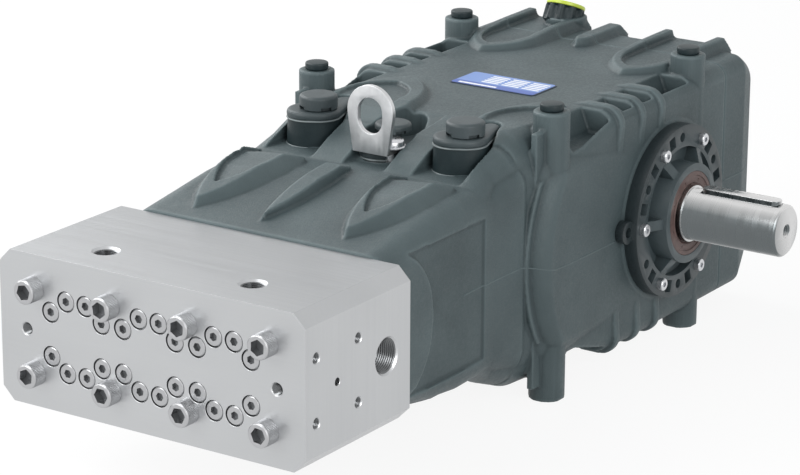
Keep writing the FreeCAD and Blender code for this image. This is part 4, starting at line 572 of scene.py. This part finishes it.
# The fluid head: a block of stainless steel, milled and brushed, with its long edges bevelled. Behind
# the counterbores of its front are the valve covers' screws; its ports are threaded.
HEAD_FRONT = -0.605
HEAD_SIDE = 0.175
HEAD_TOP = 0.225
MID_HEIGHT = 0.150
brushed = new_finish("brushed_stainless", (0.52, 0.53, 0.54), 1.0, 0.36)
along_x = pattern(brushed, 300, (0.02, 1, 1), 4)
upright = pattern(brushed, 300, (1, 1, 0.02), 4)
towards = parts_of(brushed, added(brushed, "ShaderNodeNewGeometry").outputs["Normal"])
sideways = added(brushed, "ShaderNodeMath", "ABSOLUTE")
wired(brushed, (towards["X"], sideways.inputs[0]))
grain = blended(brushed, sideways.outputs["Value"], along_x, upright)
roughened(brushed, ranged(brushed, grain, 0.32, 0.44))
bumped(brushed, grain, 0.00002)
head_clouds = ranged(brushed, pattern(brushed, 9, (0.4, 1, 1), 2), 0, 1)
# The faces turned upward are coloured darker: painted shade on the head's top.
painted_shade_on_top = ranged(brushed, towards["Z"], 0, 1, 0.5, 0.95)
tinted(brushed, blended(brushed, 0.8, head_clouds, painted_shade_on_top), (0.54, 0.55, 0.56), (0.37, 0.38, 0.39))

head = bevelled("fluid_head", "milled_head", 0.0007, 2)


def hole_facing(spot):
    """The way out of a hole in the head's front, top or side."""
    if spot[1] == HEAD_FRONT:
        return Vector((0, -1, 0))
    if spot[2] == HEAD_TOP:
        return Vector((0, 0, 1))
    return Vector((math.copysign(1, spot[0]), 0, 0))


def bored(spots, radius, depth, mouth):
    """Cutters for holes in the head, each with a bevel of width mouth at its edge."""
    profile = [(0, -depth), (radius, -depth), (radius, -mouth), (radius + mouth, 0),
        (radius + mouth, 0.001), (0, 0.001)]
    return [set_in(turned("bore", profile, 48), spot, hole_facing(spot)) for spot in spots]


def threaded(spots, sunk, radius, depth, pitch, steps=48):
    """Threads in holes of the head, each starting a little below the surface."""
    return [set_in(thread_sleeve("thread", radius, depth, pitch, steps),
        Vector(spot) - sunk * hole_facing(spot), hole_facing(spot)) for spot in spots]


CYLINDERS = (-0.085, 0, 0.085)
VALVE_RING = 0.037
VALVE_BORE_DEPTH = 0.0085
PLUG_HOLE_RADIUS = 0.0058
PORT_RADIUS = 0.0115
INLET_RADIUS = 0.017
SMALL_HOLE_RADIUS = 0.005
valve_spots = []
for cylinder in CYLINDERS:
    for angle in (36, 72, 108, 144):
        for side in (1, -1):
            valve_spots.append((cylinder + VALVE_RING * math.cos(math.radians(angle)), HEAD_FRONT,
                MID_HEIGHT + side * VALVE_RING * math.sin(math.radians(angle))))
plug_spots = [(side * 0.1437, HEAD_FRONT, MID_HEIGHT) for side in (-1, 1)]
centre_spots = [(side * HEAD_SIDE, -0.556, 0.149) for side in (-1, 1)]
port_spots = [(side * 0.0845, -0.559, HEAD_TOP) for side in (-1, 1)]
inlet_spots = [(side * HEAD_SIDE, -0.4775, MID_HEIGHT) for side in (-1, 1)]
small_spots = [(side * HEAD_SIDE, y, z) for side in (-1, 1) for y in (-0.5885, -0.5231)
    for z in (0.1192, 0.1808)]
cutters = bored(valve_spots, 0.01015, VALVE_BORE_DEPTH, 0.0003)
cutters += bored(plug_spots, PLUG_HOLE_RADIUS, 0.016, 0.0009)
cutters += bored(centre_spots, 0.0038, 0.014, 0.0004)
cutters += bored(port_spots, PORT_RADIUS, 0.01, 0.0022)
cutters += bored(inlet_spots, INLET_RADIUS, 0.01, 0.0018)
cutters += bored(small_spots, SMALL_HOLE_RADIUS, 0.008, 0.0009)
carved(head, joined("head_cutters", *cutters))
head.data.shade_flat()
covered(head, brushed, "pump", "stainless", "fluid_head")

threads = threaded(port_spots, 0.0022, PORT_RADIUS, 0.028, 0.0018)
threads += threaded(inlet_spots, 0.0018, INLET_RADIUS, 0.032, 0.0023)
threads += threaded(small_spots, 0.001, SMALL_HOLE_RADIUS, 0.016, 0.0015, 32)
threads += threaded(plug_spots, 0.001, PLUG_HOLE_RADIUS, 0.014, 0.0015, 32)
# The threads are coloured a dark steel: painted shade inside the holes.
cut_threads = polished("cut_threads", (0.15, 0.155, 0.16), 0.28)
covered(joined("head_threads", *threads), cut_threads, "pump", "stainless")

# The head's screws: bright cap screws, sunk in the counterbores round each valve, and eight big ones
# with knurled heads that hold the head on. A dark patch lies deep in each socket, where little light
# would reach.
bright = polished("bright_screws", (0.46, 0.465, 0.475), 0.36)
sunk_spots = [Vector(spot) + Vector((0, VALVE_BORE_DEPTH, 0)) for spot in valve_spots]
valve_screw = socket_screw("valve_screw", 0.0092, 0.0082, 0.0043, 0.0044, edge=0.0007)
valve_screws = repeated("valve_screws", valve_screw, sunk_spots, (0, -1, 0), bright, seed=5)
covered(valve_screws, bright, "pump", "bright_steel")
head_screw = socket_screw("head_screw", 0.0119, 0.0159, 0.0080, 0.0090, knurl=56, edge=0.0010)
screw_spots = [(x, HEAD_FRONT, MID_HEIGHT + z) for x in (-0.13395, -0.04465, 0.04465, 0.13395)
    for z in (-0.0415, 0.0415)]
head_screws = repeated("knurled_screws", head_screw, screw_spots, (0, -1, 0), bright, seed=8)
covered(head_screws, bright, "pump", "bright_steel", "head_screws")

FLOOR_THICKNESS = 0.0006
shaded_steel = polished("socket_floors", (0.14, 0.145, 0.15), 0.45)
for floor_name, key_radius, level, spots, seed in (("valve_floors", 0.0042, 0.0038, sunk_spots, 5),
        ("screw_floors", 0.0079, 0.0069, screw_spots, 8)):
    patch = turned(floor_name, [(0, level), (key_radius, level), (key_radius, level + FLOOR_THICKNESS),
        (0, level + FLOOR_THICKNESS)], 6)
    floors = repeated(floor_name, patch, spots, (0, -1, 0), shaded_steel, seed=seed)
    covered(floors, shaded_steel, "pump", "bright_steel")

# The lids on the access bosses: a black rubber hood over each boss and a thick, round-edged lid on it,
# with a thin pale line between them and another at the hood's foot: painted highlights on the boss's
# cast edges.
BOSS_CIRCLES = ((0.0, -0.212, 0.0225), (-0.0080, -0.2165, 0.0225), (0.001, -0.167, 0.0078))
FOOT_CIRCLES = ((-0.001, -0.218, 0.0155),)
BOSS_PLACES = {"left": (-0.088, 0.276), "middle": (0.0, 0.250), "right": (0.088, 0.276)}
LID_HEIGHT = 0.008
LID_EDGE = LID_HEIGHT / 2
LID_OVERHANG = 0.0006
MIDDLE_HOOD = 0.0045
OUTER_HOOD = 0.0285


def stacked(name, x, levels, circles=BOSS_CIRCLES, steps=72):
    """A closed piece whose outline hugs the circles, given as (inset, height) from its foot to its top."""
    shape = bmesh.new()
    rows = []
    for inset, height in levels:
        row = []
        for step in range(steps):
            way = Vector((math.cos(2 * math.pi * step / steps), math.sin(2 * math.pi * step / steps)))
            aside, setback, radius = max(circles, key=lambda circle: Vector(circle[:2]).dot(way) + circle[2])
            spot = Vector((x + aside, setback)) + (radius - inset) * way
            row.append(shape.verts.new((spot.x, spot.y, height)))
        rows.append(row)
    walled(shape, rows)
    bmesh.ops.recalc_face_normals(shape, faces=shape.faces)
    return smoothed(placed(shape, name), 40)


rubber = new_finish("moulded_rubber", (0.012, 0.022, 0.025), 0.0, 0.48)
own(rubber, "Specular IOR Level").default_value = 0.32
clouded(rubber, 60, (0.010, 0.019, 0.022), (0.015, 0.026, 0.029), 3)
bumped(rubber, pattern(rubber, 500, detail=3), 0.0002)
lid_rubber = new_finish("lid_rubber", (0.041, 0.055, 0.060), 0.0, 0.5)
own(lid_rubber, "Specular IOR Level").default_value = 0.4
clouded(lid_rubber, 60, (0.037, 0.050, 0.054), (0.046, 0.061, 0.066), 3)
bumped(lid_rubber, pattern(lid_rubber, 500, detail=3), 0.0002)
# Painted highlight: pale rings that stand for the light on the boss's cast edges.
pale_edge = new_finish("pale_edge", (0.16, 0.19, 0.195), 0.0, 0.45)
clouded(pale_edge, 90, (0.13, 0.155, 0.16), (0.19, 0.22, 0.225))
for place, (x, seat) in BOSS_PLACES.items():
    foot = seat - (MIDDLE_HOOD if place == "middle" else OUTER_HOOD)
    hood = stacked("hood", x, [(-0.0006, foot), (0.0004, seat - 0.0016)])
    if place == "middle":
        hood_foot = stacked("hood_foot", x, [(-0.0008, foot - 0.010), (0, foot + 0.001)], FOOT_CIRCLES)
        hood = joined("hood", hood, hood_foot)
    levels = [(0.0010, seat + 0.0002), (0.0002, seat + 0.0004)]
    for step in range(3, 12):
        angle = math.pi * step / 12
        drawn_in = (LID_EDGE * 0.9 if step > 6 else 0.0008) * (1 - math.sin(angle))
        levels.append((drawn_in - LID_OVERHANG, seat + LID_EDGE * (1 - math.cos(angle))))
    levels += [(0.0050, seat + LID_HEIGHT), (0.0075, seat + LID_HEIGHT)]
    lid = stacked("lid", x, levels)
    lid.name = "lid_" + place
    hood.name = "hood_" + place
    covered(lid, lid_rubber, "pump", "black_rubber", "access_lid_" + place)
    covered(hood, rubber, "pump", "black_rubber")
    rim = stacked("rim", x, [(0.0006, seat - 0.0018), (-0.0006, seat - 0.0015), (-0.0010, seat - 0.0008),
        (-0.0006, seat - 0.0001), (0.0006, seat + 0.0003)])
    foot_line = stacked("foot", x, [(-0.0030, foot - 0.0014), (-0.0022, foot), (-0.0012, foot + 0.0012),
        (0.0006, foot + 0.0018)])
    covered(joined("boss_edges_" + place, rim, foot_line), pale_edge, "pump", "cast_paint")

# The mushroom caps: black rubber knobs pushed into the lids, each with four notches under its brim to
# lever it out. The middle one is taller, on a narrower neck.
NOTCH_TURNS = (-120, -30, 60, 150)
NOTCH_SIZE = (0.010, 0.0115, 0.0076)
CAP_ROUNDING = (0.0042, 0.0034)
for place in BOSS_PLACES:
    low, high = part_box("mushroom_cap_" + place)
    middle = (low + high) / 2
    radius = (high.x - low.x) / 2
    rise = high.z - low.z
    brim = rise - 0.0095 if place == "middle" else 0.0004
    neck = 0.009 if place == "middle" else 0.014
    profile = [(0, 0), (neck, 0), (neck, brim), (radius - 0.0012, brim), (radius - 0.0002, brim + 0.0010)]
    for step in range(6, -1, -1):
        angle = step * math.pi / 12
        profile.append((radius - CAP_ROUNDING[0] * (1 - math.sin(angle)),
            rise - CAP_ROUNDING[1] * (1 - math.cos(angle))))
    cap = turned("cap_" + place, profile + [(radius * 0.5, rise), (0, rise)])
    notches = []
    for turn in NOTCH_TURNS:
        notch = bmesh.new()
        bmesh.ops.create_cube(notch, size=1)
        bmesh.ops.scale(notch, vec=NOTCH_SIZE, verts=notch.verts)
        bmesh.ops.translate(notch, vec=(radius, 0, brim), verts=notch.verts)
        bmesh.ops.rotate(notch, matrix=Matrix.Rotation(math.radians(turn), 3, "Z"), verts=notch.verts)
        notches.append(placed(notch, "notch"))
    carved(cap, *notches)
    smoothed(cap)
    cap.data.transform(Matrix.Translation((middle.x, middle.y, low.z)))
    covered(cap, lid_rubber, "pump", "black_rubber", "mushroom_cap_" + place)

# The plugs in the posts' tops: moulded knobs of black plastic with well-rounded edges, pressed into
# the posts' holes.
for place in ("front_left", "front_right", "rear_left", "rear_right"):
    plug = bevelled("post_plug_" + place, "plug_" + place, 0.0016, 3)
    covered(plug, rubber, "pump", "black_plastic", "post_plug_" + place)

# The lifting eye: a zinc-plated steel plate, bent at its foot and held on the middle lid by a
# domed screw over a washer.
EYE_SHIFT = -0.0022
SCREW_SHIFT = 0.006
eye_zinc = new_finish("eye_zinc", (0.60, 0.61, 0.62), 1.0, 0.4)
roughened(eye_zinc, ranged(eye_zinc, pattern(eye_zinc, 260, (1, 1, 0.12), 3), 0.36, 0.52))
clouded(eye_zinc, 70, (0.54, 0.55, 0.56), (0.68, 0.69, 0.70), 3)
bumped(eye_zinc, pattern(eye_zinc, 600, (1, 1, 0.15), 2), 0.00005)
eye = bevelled("lifting_eye", "lifting_plate", 0.0014, 4)
eye.data.transform(Matrix.Translation((EYE_SHIFT, 0, 0)))
covered(eye, eye_zinc, "pump", "zinc_steel", "lifting_eye")
low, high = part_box("lifting_eye_washer")
screw_x = (low.x + high.x) / 2 + SCREW_SHIFT
screw_y = (low.y + high.y) / 2
washer = turned("plate_washer", [(0.0062, 0), (0.0142, 0), (0.0146, 0.0004), (0.0146, 0.0013),
    (0.0140, 0.0018), (0.0126, 0.0020), (0.0062, 0.0020)])
washer.data.transform(Matrix.Translation((screw_x, screw_y, low.z)))
covered(washer, zinc, "pump", "zinc_steel", "lifting_eye_washer")
eye_screw = turned("plate_screw", [(0, -0.0195), (0.0058, -0.0195), (0.0058, 0), (0.0128, 0),
    (0.0128, 0.0040), (0.0122, 0.0052), (0.0106, 0.0064), (0.0080, 0.0071), (0.0045, 0.0074), (0, 0.0075)])
eye_screw.data.transform(Matrix.Translation((screw_x, screw_y, high.z)))
covered(eye_screw, zinc, "pump", "zinc_steel", "lifting_eye_screw")

# The nameplate: a thin aluminium plate, printed blue with a dark border, with plain white bars where
# such plates carry their data.
PLATE_CORNER = 0.0045
PLATE_MARGIN = 0.0016
BAND_WIDTH = 0.0125
PRINT_HEIGHT = 0.00004
plate_low, plate_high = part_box("nameplate")


def rounded_plate(name, low, high, corner, bottom, top):
    """A flat plate with round corners between two corners in plan."""
    shape = bmesh.new()
    middle = (low + high) / 2
    corners = ((high.x, high.y), (low.x, high.y), (low.x, low.y), (high.x, low.y))
    rows = []
    for height in (bottom, top):
        row = []
        for number, (x, y) in enumerate(corners):
            centre_x = x - math.copysign(corner, x - middle.x)
            centre_y = y - math.copysign(corner, y - middle.y)
            for step in range(9):
                angle = math.pi / 2 * (number + step / 8)
                row.append(shape.verts.new((centre_x + corner * math.cos(angle),
                    centre_y + corner * math.sin(angle), height)))
        rows.append(row)
    walled(shape, rows)
    bmesh.ops.recalc_face_normals(shape, faces=shape.faces)
    return placed(shape, name)


def bar_rows(name, width, length, columns, rows, bar_width, bar_length, material):
    """White bars in even rows and columns round the origin, on the plane Z = 0."""
    tree = bpy.data.node_groups.new(name, "GeometryNodeTree")
    wires = tree.interface
    wires.new_socket("Start", in_out="INPUT", socket_type="NodeSocketGeometry")
    sizes = {}
    for label, amount in (("Width", width), ("Length", length), ("Bar width", bar_width),
            ("Bar length", bar_length)):
        socket = wires.new_socket(label, in_out="INPUT", socket_type="NodeSocketFloat")
        sizes[socket.identifier] = amount
    paint_in = wires.new_socket("Print", in_out="INPUT", socket_type="NodeSocketMaterial")
    wires.new_socket("Bars", in_out="OUTPUT", socket_type="NodeSocketGeometry")
    given = tree.nodes.new("NodeGroupInput")
    made = tree.nodes.new("NodeGroupOutput")
    field = tree.nodes.new("GeometryNodeMeshGrid")
    field.inputs["Vertices X"].default_value = columns
    field.inputs["Vertices Y"].default_value = rows
    bar = tree.nodes.new("GeometryNodeMeshCube")
    shape_of_bar = tree.nodes.new("ShaderNodeCombineXYZ")
    shape_of_bar.inputs["Z"].default_value = 0.0001
    copies = tree.nodes.new("GeometryNodeInstanceOnPoints")
    real = tree.nodes.new("GeometryNodeRealizeInstances")
    paint = tree.nodes.new("GeometryNodeSetMaterial")
    join = tree.links.new
    join(given.outputs["Width"], field.inputs["Size X"])
    join(given.outputs["Length"], field.inputs["Size Y"])
    join(given.outputs["Bar width"], shape_of_bar.inputs["X"])
    join(given.outputs["Bar length"], shape_of_bar.inputs["Y"])
    join(shape_of_bar.outputs["Vector"], bar.inputs["Size"])
    join(field.outputs["Mesh"], copies.inputs["Points"])
    join(bar.outputs["Mesh"], copies.inputs["Instance"])
    join(copies.outputs["Instances"], real.inputs["Geometry"])
    join(real.outputs["Geometry"], paint.inputs["Geometry"])
    join(given.outputs["Print"], paint.inputs["Material"])
    join(paint.outputs["Geometry"], made.inputs["Bars"])
    piece = placed(bmesh.new(), name)
    layer = piece.modifiers.new("rows", "NODES")
    layer.node_group = tree
    for identifier, amount in sizes.items():
        layer[identifier] = amount
    layer[paint_in.identifier] = material
    return settled(piece)


def on_plate(piece, across, along):
    """Moves a print to its share of the plate's width and length."""
    plate_size = plate_high - plate_low
    piece.data.transform(Matrix.Translation((plate_low.x + across * plate_size.x,
        plate_low.y + along * plate_size.y, plate_high.z + PRINT_HEIGHT)))
    return piece


plate_edge = new_finish("plate_edge", (0.012, 0.024, 0.055), 0.0, 0.4)
clouded(plate_edge, 120, (0.010, 0.020, 0.048), (0.016, 0.030, 0.065))
plate_blue = new_finish("plate_blue", (0.16, 0.27, 0.60), 0.0, 0.38)
print_y = parts_of(plate_blue, added(plate_blue, "ShaderNodeTexCoord").outputs["Object"])["Y"]
band_top = plate_low.y + BAND_WIDTH
upper_field = ranged(plate_blue, print_y, 0.0, 1.0, band_top, band_top + 0.0015)
tinted(plate_blue, upper_field, (0.045, 0.105, 0.40), (0.15, 0.26, 0.57))
bumped(plate_blue, pattern(plate_blue, 400), 0.00005)
plate_white = new_finish("plate_white", (0.82, 0.83, 0.86), 0.0, 0.45)
clouded(plate_white, 300, (0.74, 0.76, 0.80), (0.86, 0.87, 0.89))
backing = rounded_plate("plate_backing", plate_low, plate_high, PLATE_CORNER, plate_low.z,
    plate_high.z - 0.0002)
covered(backing, plate_edge, "pump", "blue_plate", "nameplate")
margin = Vector((PLATE_MARGIN, PLATE_MARGIN, 0))
face = rounded_plate("plate_print", plate_low + margin, plate_high - margin, PLATE_CORNER - 0.0012,
    plate_high.z - 0.0004, plate_high.z)
covered(face, plate_blue, "pump", "blue_plate")
data_rows = bar_rows("data_rows", 0.0490, 0.0235, 3, 5, 0.0205, 0.0034, plate_white)
title_bar = bar_rows("title_bar", 0.001, 0.001, 1, 1, 0.046, 0.0042, plate_white)
plate_bars = joined("plate_bars", on_plate(data_rows, 0.62, 0.60), on_plate(title_bar, 0.31, 0.115))
covered(plate_bars, plate_white, "pump", "blue_plate")

# The oil filler: a black plastic cap with grip lobes and a lime green top, screwed into a boss that
# leans to the rear.
FILLER_LEAN = math.radians(-24)
FILLER_PLACE = (-0.075, 0.243, 0.286)
FILLER_LOBES = 10
LOBE_DEPTH = 0.0030


def lobed(name, rows, lobes, depth, steps=120):
    """A closed knob turned about +Z from (radius, height, share of the lobes' depth)."""
    shape = bmesh.new()
    rings = []
    for radius, height, share in rows:
        ring = []
        for step in range(steps):
            angle = 2 * math.pi * step / steps
            reach = radius - depth * share * math.sin(lobes * angle / 2) ** 2
            ring.append(shape.verts.new((reach * math.cos(angle), reach * math.sin(angle), height)))
        rings.append(ring)
    walled(shape, rings)
    bmesh.ops.recalc_face_normals(shape, faces=shape.faces)
    return smoothed(placed(shape, name), 40)


filler_turn = Matrix.Translation(FILLER_PLACE) @ Matrix.Rotation(FILLER_LEAN, 4, "X")
filler_grip = lobed("filler_grip", [(0.018, -0.016, 0), (0.018, -0.006, 0), (0.0222, -0.0035, 0.4),
    (0.0228, -0.002, 1), (0.0222, 0.012, 1), (0.0218, 0.0140, 0), (0.0210, 0.0146, 0)],
    FILLER_LOBES, LOBE_DEPTH)
filler_grip.data.transform(filler_turn)
covered(filler_grip, rubber, "pump", "black_plastic", "filler_cap")
lime = new_finish("lime_plastic", (0.56, 0.68, 0.06), 0.0, 0.35)
clouded(lime, 90, (0.52, 0.64, 0.05), (0.60, 0.72, 0.08))
bumped(lime, pattern(lime, 300), 0.0001)
filler_top = turned("filler_lime", [(0, 0.0146), (0.0214, 0.0146), (0.0220, 0.0152), (0.0220, 0.0176),
    (0.0212, 0.0186), (0.012, 0.0190), (0, 0.0190)], 72)
filler_top.data.transform(filler_turn)
covered(filler_top, lime, "pump", "lime_plastic", "filler_top")

# The oil level glass on the rear cover: a clear window in a zinc ring, with oil standing behind it up
# to the middle. Below it is the hexagonal drain plug.
GLASS_HOLE = 0.0115
OIL_SURFACE = 0.0004
low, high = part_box("oil_level_glass")
glass_spot = ((low.x + high.x) / 2, low.y, (low.z + high.z) / 2)
glass_radius = (high.x - low.x) / 2
ring = turned("glass_ring", [(GLASS_HOLE, 0), (glass_radius, 0), (glass_radius, 0.0048),
    (glass_radius - 0.0010, 0.0060), (0.0125, 0.0060), (GLASS_HOLE, 0.0050)], 72)
covered(set_in(ring, glass_spot, (0, 1, 0)), zinc, "pump", "zinc_steel", "oil_level_glass")
oil = new_finish("seen_oil", (0.42, 0.24, 0.04), 0.0, 0.3)
oil_z = parts_of(oil, added(oil, "ShaderNodeTexCoord").outputs["Object"])["Z"]
above_oil = ranged(oil, oil_z, 0.0, 1.0, glass_spot[2] - OIL_SURFACE, glass_spot[2] + OIL_SURFACE)
tinted(oil, above_oil, (0.42, 0.24, 0.04), (0.62, 0.60, 0.55))
oil_disc = turned("seen_oil", [(0, 0.0002), (0.0112, 0.0002), (0.0112, 0.0016), (0, 0.0016)], 48)
covered(set_in(oil_disc, glass_spot, (0, 1, 0)), oil, "pump", "clear_glass")
clear_glass = new_finish("clear_glass", (0.96, 0.97, 0.95), 0.0, 0.04)
own(clear_glass, "Transmission Weight").default_value = 1.0
own(clear_glass, "IOR").default_value = 1.46
roughened(clear_glass, ranged(clear_glass, pattern(clear_glass, 200), 0.02, 0.08))
window = turned("level_glass", [(0, 0.0022), (0.0113, 0.0022), (0.0113, 0.0044), (0.0100, 0.0052),
    (0.005, 0.0056), (0, 0.0057)])
covered(set_in(window, glass_spot, (0, 1, 0)), clear_glass, "pump", "clear_glass")
drain = bevelled("drain_plug", "drain_hexagon", 0.0008, 3)
covered(drain, zinc, "pump", "zinc_steel", "drain_plug")

# The studio: a pale floor that keeps the shadow and looks almost white, and a surround that looks
# white to the camera and gives the pump a dimmer, slightly blue light.
FLOOR_SIZE = 30
FLOOR_GLOW = 0.9
SURROUND_LIGHT = 0.39


def ray_kinds(owner, *labels):
    """One for rays of the kinds that the labels name, nought for others."""
    path = added(owner, "ShaderNodeLightPath")
    found = path.outputs[labels[0]]
    for label in labels[1:]:
        either = added(owner, "ShaderNodeMath", "MAXIMUM")
        wired(owner, (found, either.inputs[0]), (path.outputs[label], either.inputs[1]))
        found = either.outputs["Value"]
    return found


floor_shape = bmesh.new()
bmesh.ops.create_grid(floor_shape, x_segments=1, y_segments=1, size=FLOOR_SIZE)
floor = placed(floor_shape, "floor")
floor_paint = new_finish("floor_paint", (0.9, 0.9, 0.9), 0.0, 0.9)
floor_nodes = floor_paint.node_tree.nodes
glow = added(floor_paint, "ShaderNodeEmission")
share = added(floor_paint, "ShaderNodeMath", "MULTIPLY")
share.inputs[1].default_value = FLOOR_GLOW
mixed = added(floor_paint, "ShaderNodeMixShader")
wired(floor_paint, (ray_kinds(floor_paint, "Is Camera Ray", "Is Glossy Ray"), share.inputs[0]),
    (share.outputs["Value"], mixed.inputs["Fac"]),
    (floor_nodes["Principled BSDF"].outputs["BSDF"], mixed.inputs[1]),
    (glow.outputs["Emission"], mixed.inputs[2]),
    (mixed.outputs["Shader"], floor_nodes["Material Output"].inputs["Surface"]))
floor.data.materials.append(floor_paint)

world = bpy.data.worlds.new("studio")
bpy.context.scene.world = world
world.use_nodes = True
world_nodes = world.node_tree.nodes
white = added(world, "ShaderNodeBackground")
white.inputs["Color"].default_value = (1, 1, 1, 1)
ambient = world_nodes["Background"]
ambient.inputs["Color"].default_value = (0.93, 0.97, 1.0, 1)
ambient.inputs["Strength"].default_value = SURROUND_LIGHT
choice = added(world, "ShaderNodeMixShader")
seen_directly = ray_kinds(world, "Is Camera Ray", "Is Glossy Ray", "Is Transmission Ray")
wired(world, (seen_directly, choice.inputs["Fac"]), (ambient.outputs["Background"], choice.inputs[1]),
    (white.outputs["Background"], choice.inputs[2]),
    (choice.outputs["Shader"], world_nodes["World Output"].inputs["Surface"]))

# The lamps: three soft squares, as (name, place, width in metres, power in watts), aimed at the middle
# of the pump.
LAMPS = (("key", (-2.5, 0.2, 2.1), 2.2, 76), ("front", (-1.0, -2.6, 2.0), 1.8, 58),
    ("fill", (2.6, -1.4, 1.4), 1.6, 42))
LIT_SPOT = Vector((0, -0.15, 0.15))
for name, spot, width, power in LAMPS:
    lamp = bpy.data.lights.new(name, "AREA")
    lamp.shape = "SQUARE"
    lamp.size = width
    lamp.energy = power
    holder = bpy.data.objects.new(name, lamp)
    bpy.context.scene.collection.objects.link(holder)
    holder.location = spot
    holder.rotation_euler = (LIT_SPOT - Vector(spot)).to_track_quat("-Z", "Y").to_euler()

# The camera: stands where the photo was taken from, as it was solved from the head's square corners
# and the posts.
VIEW_AZIMUTH = math.radians(33.75)
VIEW_RISE = math.radians(17.54)
VIEW_ROLL = math.radians(0.29)
VIEW_SPOT = (1.7101, -2.7558, 1.1359)
back = Vector((math.sin(VIEW_AZIMUTH) * math.cos(VIEW_RISE), -math.cos(VIEW_AZIMUTH) * math.cos(VIEW_RISE),
    math.sin(VIEW_RISE)))
across = Vector((0, 0, 1)).cross(back).normalized()
up = back.cross(across)
right = math.cos(VIEW_ROLL) * across + math.sin(VIEW_ROLL) * up
up = -math.sin(VIEW_ROLL) * across + math.cos(VIEW_ROLL) * up
lens = bpy.data.cameras.new("view")
lens.sensor_width = 36
lens.lens = 143.974
lens.shift_x = 0.00116
lens.shift_y = -0.00523
camera = bpy.data.objects.new("view", lens)
bpy.context.scene.collection.objects.link(camera)
camera.matrix_world = Matrix.Translation(VIEW_SPOT) @ Matrix((right, up, back)).transposed().to_4x4()
bpy.context.scene.camera = camera
bpy.context.scene.view_settings.view_transform = "Standard"
